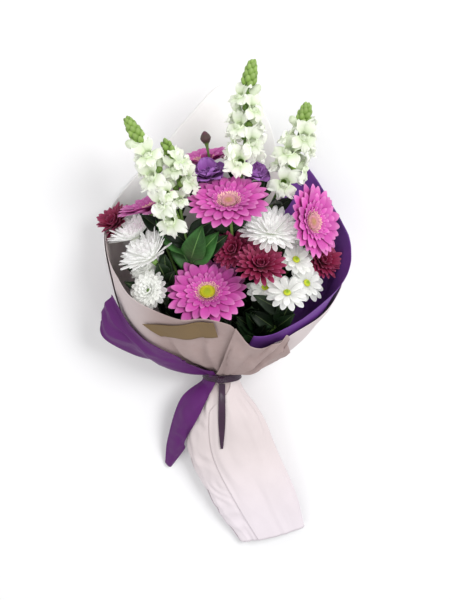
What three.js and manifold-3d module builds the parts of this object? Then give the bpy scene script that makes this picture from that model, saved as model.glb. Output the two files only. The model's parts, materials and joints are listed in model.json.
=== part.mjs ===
// A hand-tied mixed bouquet in its paper wrap, lying on its back.
//
// Millimetres, +Z up. +Y runs along the bouquet from the cut stems to the blooms and +X is to
// the right of someone who looks down on it with the blooms away from them. The drafting
// origin is on the table under the waist, where a ribbon ties the wrap round the stems. The
// finished group is moved at the end so that its origin is the middle of its footprint.

import * as THREE from 'three';
import { mergeVertices } from 'three/addons/utils/BufferGeometryUtils.js';
import Module from 'manifold-3d';

const wasm = await Module();
wasm.setup();
const { Manifold } = wasm;
const { cos, sin, PI, min, max, hypot } = Math;
const V = (x, y, z) => new THREE.Vector3(x, y, z);
const degrees = THREE.MathUtils.degToRad;

// ---------------------------------------------------------------- driving dimensions

const CLEARANCE = 0.35; // air left between neighbouring pieces
const PETAL = 1.0; // thickness of a petal along its middle
const LEAF = 1.1; // thickness of a leaf along its midrib
const PAPER = 0.8; // thickness of the wrapping paper
const RIBBON = 1.2; // thickness of the ribbon band
const WAIST = V(0, 0, 38); // middle of the tied waist
const WAIST_RADIUS = 19.2; // middle of the paper's second layer there
const LAYER = 1.2; // from one layer of paper to the next at the waist
const LAYER_SPREAD = 2.4; // how much further apart the layers stand at the rim
const COLUMNS = 24; // facets round the wrap
const MAIN_STEM = { radius: 2.2, steps: 8, sides: 5 };
const SIDE_STEM = { radius: 1.5, steps: 4, sides: 4 };
const STEM_PITCH = 5.2; // stems packed like a honeycomb in the waist
const STEM_END = V(21, -126, 20.5); // middle of the cut ends, inside the paper skirt

const COLOURS = {
  stem: 0x6f8f3a, leaf: 0x1f5a2a, gerbera: 0xd83cae, gerberaEye: 0xc9cc1e,
  white: 0xf4f5f0, burgundy: 0x861544, violet: 0x6c3d86, floret: 0xf0f4e2,
  pink: 0xddc3bf, purple: 0x5d2a86, khaki: 0x93845c, ribbon: 0x43214c, twine: 0xb79a66,
};

// Blooms: the middle of the flower, the way it faces, its radius and how far its petals rise.
const GERBERAS = [
  { name: 'gerbera_front', at: [-16, 120, 126], facing: [-0.06, 0.73, 0.68], radius: 48, cup: 9,
    outer: 15, inner: 8 },
  { name: 'gerbera_top', at: [8, 226, 140], facing: [-0.07, 0.85, 0.52], radius: 46, cup: 8,
    outer: 14, inner: 8 },
  { name: 'gerbera_right', at: [102, 199, 110], facing: [0.71, 0.26, 0.65], radius: 43, cup: 16,
    outer: 13, inner: 7 },
  { name: 'gerbera_left', at: [-80, 211, 94], facing: [-0.34, 0.94, 0.07], radius: 42, cup: 20,
    outer: 11, inner: 6 },
  { name: 'gerbera_back', at: [-20, 262, 66], facing: [-0.2, 0.97, 0.13], radius: 36, cup: 22,
    outer: 9, inner: 5 },
];
const SPIDER_MUMS = [
  { name: 'spider_mum_lower', at: [-80, 160, 116], facing: [-0.5, 0.81, 0.29], radius: 36, cup: 22 },
  { name: 'spider_mum_upper', at: [-101, 175, 78], facing: [-0.41, 0.91, 0.11], radius: 33, cup: 30 },
  { name: 'spider_mum_right', at: [56, 189, 120], facing: [0.03, 0.84, 0.54], radius: 34, cup: 10 },
];
const DAISIES_RIGHT = [
  { name: 'daisy_right_1', at: [73, 124, 146], facing: [0.06, 0.77, 0.63], radius: 23, cup: 6 },
  { name: 'daisy_right_2', at: [50, 126, 124], facing: [-0.22, 0.6, 0.76], radius: 21, cup: 14 },
  { name: 'daisy_right_3', at: [96, 130, 120], facing: [0.51, 0.5, 0.7], radius: 22, cup: 10 },
  { name: 'daisy_right_4', at: [84, 156, 116], facing: [0.3, 0.65, 0.7], radius: 20, cup: 18 },
  { name: 'daisy_right_5', at: [76, 170, 86], facing: [0.3, 0.75, 0.55], radius: 19, cup: 30, inner: 6 },
];
const DAISIES_LEFT = [
  { name: 'daisy_left_1', at: [-82, 122, 124], facing: [-0.42, 0.42, 0.8], radius: 25, cup: 8 },
  { name: 'daisy_left_2', at: [-84, 142, 96], facing: [-0.5, 0.68, 0.53], radius: 24, cup: 20 },
];
const MUMS = [
  { name: 'mum_centre', at: [43, 155, 142], facing: [0.06, 0.72, 0.69], radius: 30, cup: 14 },
  { name: 'mum_near', at: [13, 168, 116], facing: [-0.4, 0.5, 0.77], radius: 25, cup: 12 },
  { name: 'mum_right', at: [116, 150, 84], facing: [0.57, 0.45, 0.69], radius: 26, cup: 16 },
  { name: 'mum_left', at: [-125, 189, 56], facing: [-0.62, 0.6, 0.5], radius: 26, cup: 20 },
  { name: 'mum_back', at: [24, 254, 54], facing: [0.15, 0.97, 0.19], radius: 28, cup: 26 },
];
const LISIANTHUSES = [
  { name: 'lisianthus_left', at: [-15, 247, 102], facing: [-0.09, 0.9, 0.42], radius: 24, cup: 34 },
  { name: 'lisianthus_right', at: [31, 247, 96], facing: [0.25, 0.86, 0.45], radius: 24, cup: 34 },
];

// Snapdragons: for each spike the route from its lowest floret to its tip, and what it bears.
// The left one has forked, and its side spike branches off where `from` says.
const SNAPDRAGONS = [
  { name: 'snapdragon_left', spikes: [
    { name: 'snapdragon_left_florets', florets: 9, buds: 6,
      route: [[-42, 192, 126], [-62, 243, 143], [-79, 278, 148], [-100, 314, 146]] },
    { name: 'snapdragon_left_side_florets', from: 0.36, florets: 7, buds: 1,
      route: [[-42, 192, 126], [-47, 226, 136], [-50, 260, 140], [-61, 290, 138]] },
  ] },
  { name: 'snapdragon_centre', spikes: [
    { name: 'snapdragon_centre_florets', florets: 11, buds: 6,
      route: [[22, 258, 116], [26, 298, 126], [27, 336, 130], [33, 374, 130]] },
  ] },
  { name: 'snapdragon_right', spikes: [
    { name: 'snapdragon_right_florets', florets: 9, buds: 5,
      route: [[66, 236, 92], [78, 265, 100], [86, 298, 108], [94, 327, 112]] },
  ] },
];

// Leaves: tip and width, on two leafy stems; each leaf springs a little lower than the last.
const LEAFY_STEMS = [
  { name: 'foliage_left', top: [-37, 160, 104], leaves: [
    { tip: [-86, 196, 126], width: 19 },
    { tip: [-62, 208, 116], width: 17 },
    { tip: [-13, 205, 122], width: 22 },
    { tip: [2, 178, 124], width: 20 },
    { tip: [-66, 163, 128], width: 13 },
    { tip: [-68, 134, 118], width: 17 },
  ] },
  { name: 'foliage_right', top: [104, 168, 70], leaves: [
    { tip: [72, 214, 100], width: 15 },
    { tip: [58, 216, 84], width: 9 },
    { tip: [104, 176, 112], width: 14 },
    { tip: [140, 168, 94], width: 15 },
    { tip: [126, 142, 106], width: 12 },
    { tip: [128, 190, 86], width: 12 },
  ] },
];
// How far up its stem the highest leaf springs, and how much lower each next one does.
const LEAF_ROOTS = { top: 0.99, step: 0.025 };
const BUD = [-18, 291, 92]; // middle of the round bud

// The rim of the paper funnel, one point for each column, from the right side over the front.
const RIM = [
  [148, 175, 88], [147, 152, 112], [130, 124, 130], [99, 99, 141], [66, 80, 144], [36, 76, 150],
  [10, 94, 163], [-16, 102, 170], [-44, 100, 167], [-72, 107, 154], [-97, 118, 140], [-116, 136, 121],
  [-129, 160, 98], [-134, 185, 62], [-128, 208, 28], [-108, 236, 8], [-78, 268, 1.6], [-38, 314, 1.6],
  [4, 350, 1.6], [46, 318, 1.6], [80, 280, 1.6], [108, 246, 10], [130, 212, 36], [142, 193, 62],
].map((p) => V(...p));
// How far the paper bellies out between waist and rim, for the same columns.
const BELLY = [25, 23, 18, 12, 7, 4, 4, 4, 5, 10, 24, 36, 42, 42, 38, 36, 36, 40, 40, 40, 36, 30, 28, 26];
const FUNNEL_STATIONS = [0, 0.11, 0.3, 0.54, 0.8, 1];
// The skirt below the waist: distance down, middle, width, lowest height, depth, slant.
const SKIRT = [
  { y: -230, middle: 66, width: 80, low: 1.6, depth: 13, slant: 0.26 },
  { y: -170, middle: 40, width: 98, low: 1.6, depth: 32, slant: 0.14 },
  { y: -100, middle: 11, width: 100, low: 1.6, depth: 47, slant: 0.04 },
  { y: -50, middle: 3, width: 78, low: 8, depth: 52, slant: 0 },
  { y: -24, middle: 0, width: 50, low: 16, depth: 44, slant: 0 },
];
const WAIST_LENGTH = 12; // straight tube under the ribbon, from -6 to 6

// ---------------------------------------------------------------- solids and meshes

/** A repeatable stream of numbers from 0 to 1. */
function seeded(seed) {
  let state = seed;
  return () => {
    state = (state * 1664525 + 1013904223) % 4294967296;
    return state / 4294967296;
  };
}

/** Triangles with shared corners, turned to face out, as a solid. */
function solidOf(geometry) {
  const bare = new THREE.BufferGeometry();
  bare.setAttribute('position', geometry.getAttribute('position'));
  bare.setIndex(geometry.getIndex());
  const merged = mergeVertices(bare, 1e-4);
  const corners = merged.getAttribute('position');
  const index = merged.getIndex().array;
  const faces = [];
  let volume = 0;
  for (let i = 0; i < index.length; i += 3) {
    const [a, b, c] = index.slice(i, i + 3);
    if (a === b || b === c || c === a) continue;
    faces.push([a, b, c]);
    const [p, q, r] = [a, b, c].map((k) => V().fromBufferAttribute(corners, k));
    volume += p.dot(q.cross(r));
  }
  const outward = volume > 0 ? faces : faces.map(([a, b, c]) => [a, c, b]);
  return new Manifold(new wasm.Mesh({
    numProp: 3, vertProperties: corners.array, triVerts: new Uint32Array(outward.flat()),
  }));
}

function geometryOf(solid) {
  const { vertProperties, triVerts } = solid.getMesh();
  const geometry = new THREE.BufferGeometry();
  geometry.setAttribute('position', new THREE.BufferAttribute(vertProperties, 3));
  geometry.setIndex(new THREE.BufferAttribute(triVerts, 1));
  geometry.computeVertexNormals();
  return geometry;
}

/** A skin over cross-sections with the same number of corners; a section of one is a point. */
function loft(sections) {
  const corners = sections.flat();
  const starts = sections.map((_, k) => sections.slice(0, k).flat().length);
  const count = sections[0].length;
  const index = [];
  for (let k = 1; k < count - 1; k++) index.push(0, k + 1, k);
  for (let s = 0; s + 1 < sections.length; s++) {
    for (let k = 0; k < count; k++) {
      const next = (k + 1) % count;
      const [a, b] = [starts[s] + k, starts[s] + next];
      if (sections[s + 1].length === 1) {
        index.push(a, b, starts[s + 1]);
        continue;
      }
      const [c, d] = [starts[s + 1] + next, starts[s + 1] + k];
      // The diagonals mirror each other, so that both faces of a blade bend alike.
      if (k % 2) index.push(a, b, d, b, c, d);
      else index.push(a, b, c, a, c, d);
    }
  }
  const end = starts.at(-1);
  for (let k = 1; k < sections.at(-1).length - 1; k++) index.push(end, end + k, end + k + 1);
  const geometry = new THREE.BufferGeometry().setFromPoints(corners);
  geometry.setIndex(index);
  return geometry;
}

/** A turned solid about +Z from its profile of [radius, height] corners. */
function turned(profile, sides) {
  const points = profile.map(([radius, height]) => new THREE.Vector2(radius, height));
  return solidOf(new THREE.LatheGeometry(points, sides).rotateX(PI / 2));
}

/** A round tube along a curve. */
function tube(curve, radius, steps, sides) {
  const section = new THREE.Shape();
  for (let k = 0; k < sides; k++) {
    const angle = 2 * PI * k / sides;
    const [x, y] = [radius * cos(angle), radius * sin(angle)];
    if (k) section.lineTo(x, y);
    else section.moveTo(x, y);
  }
  return solidOf(new THREE.ExtrudeGeometry(section, { steps, extrudePath: curve, curveSegments: 1 }));
}

/** A smooth curve that is sampled evenly between its points, so that it keeps to each of them. */
function smoothCurve(points) {
  const curve = new THREE.CatmullRomCurve3(points, false, 'centripetal');
  curve.getPointAt = curve.getPoint;
  curve.getTangentAt = curve.getTangent;
  return curve;
}

/** Joined solids without the scraps that come loose where they only graze each other. */
function joined(solids) {
  const bodies = Manifold.union(solids).decompose();
  return bodies.reduce((largest, body) => (body.volume() > largest.volume() ? body : largest));
}

/** The turn and shift that take +Z at the origin to `facing` at `at`. */
function placement(at, facing, spin = 0) {
  const turn = new THREE.Quaternion().setFromUnitVectors(V(0, 0, 1), V(...facing).normalize());
  turn.multiply(new THREE.Quaternion().setFromAxisAngle(V(0, 0, 1), spin));
  return new THREE.Matrix4().compose(V(...at), turn, V(1, 1, 1));
}

const bouquet = new THREE.Group();
const pieces = []; // each placed solid with its box, for keeping the next ones clear

function boxOf(solid) {
  const { min: low, max: high } = solid.boundingBox();
  return new THREE.Box3(V(...low), V(...high));
}

function addPiece(name, colour, solid, matrix = new THREE.Matrix4()) {
  const material = new THREE.MeshStandardMaterial({
    color: COLOURS[colour], roughness: 0.75, metalness: 0, side: THREE.FrontSide,
  });
  const mesh = new THREE.Mesh(geometryOf(solid), material);
  mesh.name = name;
  matrix.decompose(mesh.position, mesh.quaternion, mesh.scale);
  bouquet.add(mesh);
  const world = solid.transform(matrix.elements);
  pieces.push({ name, solid: world, box: boxOf(world) });
}

/** Keeps room for something that becomes a piece, or part of one, later. */
function reserve(name, solid, more = {}) {
  pieces.push({ name, solid, box: boxOf(solid), ...more });
}

/** Takes a reserved place back. */
function takeBack(name) {
  return pieces.splice(pieces.findIndex((piece) => piece.name === name), 1);
}

/** Whether a solid keeps its distance from everything placed so far, and from `others`. */
function isClear(solid, others = []) {
  const reach = boxOf(solid).expandByScalar(CLEARANCE);
  return [...pieces, ...others].every(({ solid: other, box }) => (
    !reach.intersectsBox(box) || solid.minGap(other, CLEARANCE) >= CLEARANCE));
}

// ---------------------------------------------------------------- petals and leaves

// Outlines: how far along the blade, and its breadth there.
const STRAP = [[0, 0.3], [0.8, 1]];
const OVAL = [[0, 0.22], [0.58, 1]];
const NEEDLE = [[0, 0.7], [0.7, 1]];
const FAN = [[0, 0.16], [0.5, 0.9], [0.86, 1]];
const LEAF_OUTLINE = [[0, 0.12], [0.28, 0.85], [0.66, 0.9]];

/**
 * One blade along +Y from `root`, ending in a point. Its sections are lenses, or, where it is
 * plain, low triangles with the ridge on the upper side.
 */
function blade({ root, length, width, outline, thick = PETAL, lift = 0, curl = 0, trough = 0, wave = 0,
  plain = false }) {
  const sections = [];
  let [y, z, before] = [root, 0, 0];
  [...outline, [1, 0]].forEach(([along, breadth], k) => {
    const slope = lift + curl * (along + before) / 2;
    y += length * (along - before) * cos(slope);
    z += length * (along - before) * sin(slope);
    before = along;
    if (!breadth) {
      sections.push([V(0, y, z)]);
      return;
    }
    const half = width * breadth / 2;
    const tilt = lift + curl * along;
    const up = (across, rise) => V(across, y - sin(tilt) * rise, z + cos(tilt) * rise);
    const ripple = k % 2 ? wave : -wave;
    const sunk = -trough * half;
    const [left, right] = [up(-half, ripple), up(half, -ripple)];
    if (plain) sections.push([left, up(0, thick), right]);
    else sections.push([left, up(0, sunk + thick / 2), right, up(0, sunk - thick / 2)]);
  });
  return solidOf(loft(sections));
}

/** A ring of `count` equal blades with a little natural variety. */
function whorl(count, spec, random, turn = 0) {
  return Array.from({ length: count }, (_, k) => ({
    ...spec,
    angle: turn + 2 * PI * (k + 0.24 * (random() - 0.5)) / count,
    length: spec.length * (0.94 + 0.12 * random()),
    lift: (spec.lift ?? 0) + 0.1 * (random() - 0.5),
  }));
}

const BENDS = [0, 0.14, -0.14, 0.28, -0.28, 0.45, 0.62, -0.42, 0.8, 1.0];
const TRIMS = [1, 0.82, 0.64];

/** The blade as drawn, or bent or shortened until nothing touches it; null where it can't be. */
function clearBlade(spec, matrix) {
  const seat = new THREE.Matrix4().makeRotationZ(spec.angle).setPosition(0, 0, spec.height ?? 0);
  for (const trim of TRIMS) {
    for (const bend of BENDS) {
      const shape = blade({ ...spec, length: spec.length * trim, lift: spec.lift + bend });
      const local = shape.transform(seat.elements);
      if (isClear(local.transform(matrix.elements))) return local;
    }
  }
  return null;
}

/** A bloom: its heart with every petal that finds room, as one solid. */
function addBloom(name, colour, matrix, heart, petals) {
  const clear = petals.map((spec) => clearBlade(spec, matrix)).filter(Boolean);
  addPiece(name, colour, joined([heart, ...clear]), matrix);
}

// ---------------------------------------------------------------- paper wrap

/** One ring of the skirt, a slanted ellipse. */
function skirtRow({ y, middle, width, low, depth, slant }) {
  return Array.from({ length: COLUMNS }, (_, k) => {
    const angle = 2 * PI * k / COLUMNS;
    const across = width / 2 * cos(angle);
    return V(middle + across, y + slant * across, low + depth / 2 * (1 + sin(angle)));
  });
}

/** A round ring of the waist. */
function waistRow(y) {
  return Array.from({ length: COLUMNS }, (_, k) => {
    const angle = 2 * PI * k / COLUMNS;
    return WAIST.clone().add(V(WAIST_RADIUS * cos(angle), y, WAIST_RADIUS * sin(angle)));
  });
}

/** A ring of the funnel, `station` of the way from the waist to the rim. */
function funnelRow(station) {
  const start = waistRow(WAIST_LENGTH / 2);
  return RIM.map((rim, k) => {
    const along = rim.clone().sub(start[k]);
    const straight = along.clone().normalize();
    const angle = 2 * PI * k / COLUMNS;
    const out = V(cos(angle), 0, sin(angle));
    out.addScaledVector(straight, -out.dot(straight)).normalize();
    const point = start[k].clone().addScaledVector(along, station);
    point.addScaledVector(out, BELLY[k] * sin(PI * station ** 0.8));
    point.z = max(point.z, LOWEST);
    return point;
  });
}

const LOWEST = LAYER + PAPER / 2; // the second layer's middle where the outer one lies on the table
const WRAP = [
  ...SKIRT.map(skirtRow),
  waistRow(-WAIST_LENGTH / 2),
  ...FUNNEL_STATIONS.map(funnelRow),
];
const WAIST_ROW = SKIRT.length; // first row of the waist tube
const FUNNEL_ROW = SKIRT.length + 1; // row where the funnel starts
const RIM_ROW = WRAP.length - 1;

/** The distance between two layers: wider towards the rim, but not where they lie on the table. */
function layerStep(row, column) {
  const open = row <= FUNNEL_ROW ? 0 : FUNNEL_STATIONS[row - FUNNEL_ROW];
  return LAYER + LAYER_SPREAD * open * min((wrapPoint(row, column).z - LOWEST) / 40, 1);
}

function wrapPoint(row, column) {
  return WRAP[row][(column + COLUMNS) % COLUMNS];
}

/** The outward direction of the wrap at a grid point. */
function wrapNormal(row, column) {
  const round = wrapPoint(row, column + 1).clone().sub(wrapPoint(row, column - 1));
  const down = wrapPoint(max(row - 1, 0), column);
  const along = wrapPoint(min(row + 1, RIM_ROW), column).clone().sub(down);
  return along.cross(round).normalize();
}

/** A sheet of paper through a grid of points with its outward directions, where it has cells. */
function sheet(points, normals, thickness = PAPER, hasCell = () => true) {
  const [rows, columns] = [points.length, points[0].length];
  const face = (side) => points.flatMap((line, r) => line.map((point, c) => (
    point.clone().addScaledVector(normals[r][c], side * thickness / 2))));
  const corners = [...face(1), ...face(-1)];
  const outer = (r, c) => r * columns + c;
  const inner = (r, c) => rows * columns + outer(r, c);
  const inside = (r, c) => r >= 0 && c >= 0 && r + 1 < rows && c + 1 < columns && hasCell(r, c);
  const index = [];
  const wall = ([ra, ca], [rb, cb]) => {
    const [a, b, c, d] = [outer(rb, cb), outer(ra, ca), inner(ra, ca), inner(rb, cb)];
    index.push(a, b, c, a, c, d);
  };
  for (let r = 0; r + 1 < rows; r++) {
    for (let c = 0; c + 1 < columns; c++) {
      if (!inside(r, c)) continue;
      index.push(outer(r, c), outer(r, c + 1), outer(r + 1, c + 1));
      index.push(outer(r, c), outer(r + 1, c + 1), outer(r + 1, c));
      index.push(inner(r, c), inner(r + 1, c + 1), inner(r, c + 1));
      index.push(inner(r, c), inner(r + 1, c), inner(r + 1, c + 1));
      if (!inside(r - 1, c)) wall([r, c], [r, c + 1]);
      if (!inside(r, c + 1)) wall([r, c + 1], [r + 1, c + 1]);
      if (!inside(r + 1, c)) wall([r + 1, c + 1], [r + 1, c]);
      if (!inside(r, c - 1)) wall([r + 1, c], [r, c]);
    }
  }
  const geometry = new THREE.BufferGeometry().setFromPoints(corners);
  geometry.setIndex(index);
  return solidOf(geometry);
}

/** Part of the wrap between two rows and two columns, in one of its layers. */
function wrapSheet(fromRow, toRow, fromColumn, toColumn, layer, { trim = () => 1, hasCell } = {}) {
  const [points, normals] = [[], []];
  for (let row = fromRow; row <= toRow; row++) {
    points.push([]);
    normals.push([]);
    for (let column = fromColumn; column <= toColumn; column++) {
      const normal = wrapNormal(row, column);
      const point = wrapPoint(row, column).clone();
      if (row === toRow) point.lerp(wrapPoint(row - 1, column), 1 - trim(column));
      points.at(-1).push(point.addScaledVector(normal, layer * layerStep(row, column)));
      normals.at(-1).push(normal);
    }
  }
  return sheet(points, normals, PAPER, hasCell);
}

const WRAP_FACETS = [];
for (let row = 0; row < RIM_ROW; row++) {
  for (let column = 0; column < COLUMNS; column++) {
    const [a, b] = [wrapPoint(row, column), wrapPoint(row, column + 1)];
    const [c, d] = [wrapPoint(row + 1, column + 1), wrapPoint(row + 1, column)];
    for (const facet of [new THREE.Triangle(a, c, b), new THREE.Triangle(a, d, c)]) {
      WRAP_FACETS.push({ row, column, facet, normal: facet.getNormal(V()) });
    }
  }
}

/** A point moved straight out of the wrap until it is `gap` mm from its second layer. */
function outsideWrap(start, gap) {
  const point = start.clone();
  for (let pass = 0; pass < 3; pass++) {
    let [nearest, distance] = [null, Infinity];
    for (const place of WRAP_FACETS) {
      const foot = place.facet.closestPointToPoint(point, V());
      const away = foot.distanceTo(point);
      if (away < distance) [nearest, distance] = [{ ...place, foot }, away];
    }
    const out = point.clone().sub(nearest.foot).dot(nearest.normal);
    const wanted = gap(nearest.row, nearest.column);
    if (out >= wanted) return point;
    point.addScaledVector(nearest.normal, wanted - out);
  }
  return point;
}

/** A sheet through a small net of points, smoothed both ways and kept outside the wrap. */
function netSheet(net, rows, columns, gap) {
  const lines = net.map((line) => smoothCurve(line.map((p) => V(...p))).getPoints(columns));
  const across = lines[0].map((_, c) => smoothCurve(lines.map((line) => line[c])).getPoints(rows));
  const points = across[0].map((_, r) => across.map((line) => outsideWrap(line[r], gap)));
  const normals = points.map((line, r) => line.map((_, c) => {
    const round = line[min(c + 1, columns)].clone().sub(line[max(c - 1, 0)]);
    const along = points[min(r + 1, rows)][c].clone().sub(points[max(r - 1, 0)][c]);
    return round.cross(along).normalize();
  }));
  return sheet(points, normals);
}

const onFront = () => PAPER + CLEARANCE + 0.3; // just clear of the second layer
const overAll = (row, column) => layerStep(min(row + 1, RIM_ROW), column) + onFront(); // the outer one too
// Above the ribbon the gathered pouch stands a little further off, where the wrap starts to flare.
const overPouchSide = (row, column) => overAll(row, column) + (row >= FUNNEL_ROW ? 0.5 : 0);

function addWrap() {
  // Columns are 15 degrees apart: 0 is the right side, 6 the front and 18 the table side.
  const underLapel = (row, column) => row <= FUNNEL_ROW || column >= 7;
  const low = (column) => (column > 21 ? 0.3 : 1);
  addPiece('paper_back', 'pink', wrapSheet(0, RIM_ROW, 12, 28, 1, { trim: low }));
  addPiece('paper_front', 'pink', wrapSheet(0, RIM_ROW, -1, 14, 0, { hasCell: underLapel }));
  addPiece('paper_purple_right', 'purple', wrapSheet(WAIST_ROW, RIM_ROW, -4, 5, -1));

  // The front sheet's top edge is folded out and shows its khaki reverse.
  const hem = [
    [[5, 74, 141], [-18, 73, 142], [-42, 73, 139], [-63, 72, 132]],
    [[-4, 96, 167], [-28, 96, 166], [-52, 94, 156], [-82, 90, 133]],
  ];
  addPiece('paper_hem', 'khaki', netSheet(hem, 2, 6, () => onFront() + 1.3));

  // The lapel: the front sheet's right edge turned out over itself, with a fold along its foot.
  const lapel = [
    [[-7, 7, 59], [0, 7, 61], [7, 7, 60], [13, 7, 56], [17, 7, 52], [16, 7, 53], [14, 7, 54]],
    [[3, 44, 116], [12, 37, 106], [24, 30, 101], [36, 30, 98], [39, 22, 88], [33, 15, 76], [27, 10, 66]],
    [[16, 92, 169], [29, 68, 152], [48, 58, 147], [69, 66, 146], [77, 50, 128], [68, 37, 106], [60, 29, 90]],
  ];
  addPiece('paper_lapel', 'pink', netSheet(lapel, 5, 9, (row, column) => overAll(row, column) + 0.4));

  // The purple pouch on the left, gathered under the ribbon, with its tail below.
  const pouch = [
    [[-66, -138, 4], [-68, -138, 5], [-71, -136, 5], [-74, -132, 4]],
    [[-44, -99, 26], [-52, -95, 35], [-61, -93, 33], [-69, -92, 22]],
    [[-26, -46, 58], [-34, -42, 62], [-44, -36, 56], [-51, -32, 44]],
    [[-7.3, -7, 58], [-15.1, -7, 53.1], [-19.3, -7, 47], [-21.2, -7, 40]],
    [[-7.3, 6, 58], [-15.1, 6, 53.1], [-19.3, 6, 47], [-21.2, 6, 40]],
    [[-12, 18, 70], [-20, 17, 67], [-29, 15, 62], [-36, 11, 48]],
    [[-38, 36, 84], [-50, 30, 79], [-64, 29, 76], [-72, 19, 54]],
    [[-76, 62, 108], [-88, 52, 88], [-99, 51, 84], [-105, 28, 58]],
    [[-110, 84, 104], [-122, 72, 84], [-134, 60, 76], [-140, 52, 64]],
    [[-128, 112, 98], [-134, 100, 84], [-138, 86, 72], [-141, 70, 62]],
  ];
  addPiece('paper_purple_left', 'purple', netSheet(pouch, 18, 4, overPouchSide));
}

function addRibbon() {
  const [inside, low, high] = [23.1, -6.5, 2.5];
  const band = turned([
    [inside, low], [inside + RIBBON, low], [inside + RIBBON, high], [inside, high], [inside, low],
  ], 16).transform(new THREE.Matrix4().makeRotationX(-PI / 2).setPosition(WAIST).elements);
  const knot = turned([[0, -3], [4.5, -1.5], [5, 2], [0, 3.5]], 6)
    .transform(placement([-1, -2, WAIST.z + inside + 2], [0, 0, 1]).elements);
  addPiece('ribbon_band', 'ribbon', band.add(knot));
  const tail = [
    [[4, -7.3, 60.6], [0, -7.3, 61.3], [-4, -7.3, 60.6]],
    [[4, -30, 62], [0, -30, 62], [-4, -30, 62]],
    [[4, -60, 59], [0, -60, 59], [-4, -60, 59]],
    [[1.5, -93, 52], [0, -93, 52], [-1.5, -93, 52]],
  ];
  addPiece('ribbon_tail', 'ribbon', netSheet(tail, 7, 2, () => onFront() + 1.2));
  const [hold, turnOfTwine] = [16.45, 0.5];
  const twine = turned([
    [hold, -6], [hold + turnOfTwine, -6], [hold + turnOfTwine, -2], [hold, -2], [hold, -6],
  ], 24).transform(new THREE.Matrix4().makeRotationX(-PI / 2).setPosition(WAIST).elements);
  addPiece('stem_twine', 'twine', twine);
}

// ---------------------------------------------------------------- stems

/** Honeycomb places in the waist, nearest the middle first. */
function stemSlots(count) {
  const slots = [];
  for (let row = -3; row <= 3; row++) {
    for (let k = -3; k <= 3; k++) {
      slots.push([STEM_PITCH * (k + row / 2), STEM_PITCH * row * Math.sqrt(3) / 2]);
    }
  }
  slots.sort((a, b) => hypot(...a) - hypot(...b));
  return slots.slice(0, count);
}

/**
 * The slot for each stem. Two stems swap slots while that turns their slots more the way their
 * heads lie, after which no two straight stems come nearer than they are in the waist.
 */
function fanOut(heads) {
  const slots = stemSlots(heads.length);
  const aims = heads.map(({ x, y, z }) => [x / y, (z - WAIST.z) / y]);
  const agreement = (i, j) => [0, 1].reduce((sum, k) => (
    sum + (aims[i][k] - aims[j][k]) * (slots[i][k] - slots[j][k])), 0);
  for (let swapped = true; swapped;) {
    swapped = false;
    for (let i = 0; i < slots.length; i++) {
      for (let j = i + 1; j < slots.length; j++) {
        if (agreement(i, j) > -1e-9) continue;
        [slots[i], slots[j]] = [slots[j], slots[i]];
        swapped = true;
      }
    }
  }
  return slots;
}

// Ways round an obstacle: sideways and up or down, the smallest first.
const DETOURS = [[0, 0]];
for (const far of [9, 18, 27, 38, 50]) {
  for (let k = 0; k < 10; k++) DETOURS.push([far * sin(PI * k / 5), -far * cos(PI * k / 5)]);
}

// A stem comes to its bloom from straight behind, over a share of its span but never over more
// than `longest`, and is turned aside at one of these shares of the rest. A span of `whole` mm
// takes the whole detour and a shorter one less.
const APPROACH = { shares: [0.28, 0.2, 0.12, 0.4], longest: 60 };
const DETOUR = { shares: [0.5, 0.7], whole: 120 };

/** The first clear tube to `head`, from the points of `start`, bent round what is in its way. */
function routeTube(start, head, behind, size, guards) {
  const last = start.at(-1);
  const span = last.distanceTo(head);
  for (const [aside, rise] of DETOURS) {
    for (const reach of APPROACH.shares) {
      for (const share of DETOUR.shares) {
        const run = min(reach * span, APPROACH.longest);
        const approach = head.clone().addScaledVector(behind, run);
        const shift = V(aside, 0, rise).multiplyScalar(min(span / DETOUR.whole, 1));
        const middle = last.clone().lerp(approach, share).add(shift);
        const route = smoothCurve([...start, middle, approach, head]);
        const stem = tube(route, size.radius, size.steps, size.sides);
        if (isClear(stem, guards)) return { stem, route };
      }
    }
  }
  return null;
}

/** What keeps other stems out of a bloom while its petals aren't there yet. */
function guardOf({ name, at, facing, radius, cup }) {
  const [reach, rise] = [0.8 * radius, 0.8 * radius * Math.tan(degrees(cup))];
  const solid = turned([[0, -3], [reach, rise - 1], [reach, rise + 3], [0, 3]], 10)
    .transform(placement(at, facing).elements);
  return { name, solid, box: boxOf(solid) };
}

// A daisy's green neck passes through its ring of petals and carries the eye above it.
const DAISY_RING = { hole: 2.6, rim: 4.8, half: 1.2 };
const DAISY_NECK = 1.9;
const DAISY_COLLAR = DAISY_RING.half + CLEARANCE;
// What a stem carries under each kind of bloom, as a turned profile, and where it joins the stem.
const CALYX = {
  gerbera: { profile: [[0, -15], [3.4, -13], [8.4, -3.35], [0, -3.35]], sides: 7, join: 8 },
  spider: { profile: [[0, -12], [5.6, -5.5], [0, -4.35]], sides: 6, join: 8 },
  mum: { profile: [[0, -10], [5.4, -4], [0, -3.35]], sides: 6, join: 6.5 },
  lisianthus: { profile: [[0, -11], [3.4, -5.35], [0, -5.35]], sides: 6, join: 8 },
  bud: { profile: [[0, -7], [5, -3], [4.6, 3], [0, 5.5]], sides: 6, join: 5 },
  daisy: {
    profile: [[0, -8], [3.8, -DAISY_COLLAR], [DAISY_NECK, -DAISY_COLLAR], [DAISY_NECK, DAISY_COLLAR],
      [4.9, DAISY_COLLAR], [0, 3.9]],
    sides: 5, join: 5,
  },
  leafy: { profile: [[0, -4], [3, -3], [3.6, 0], [0, 3.5]], sides: 5, join: 1 },
  spike: { join: 0 },
};

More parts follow.
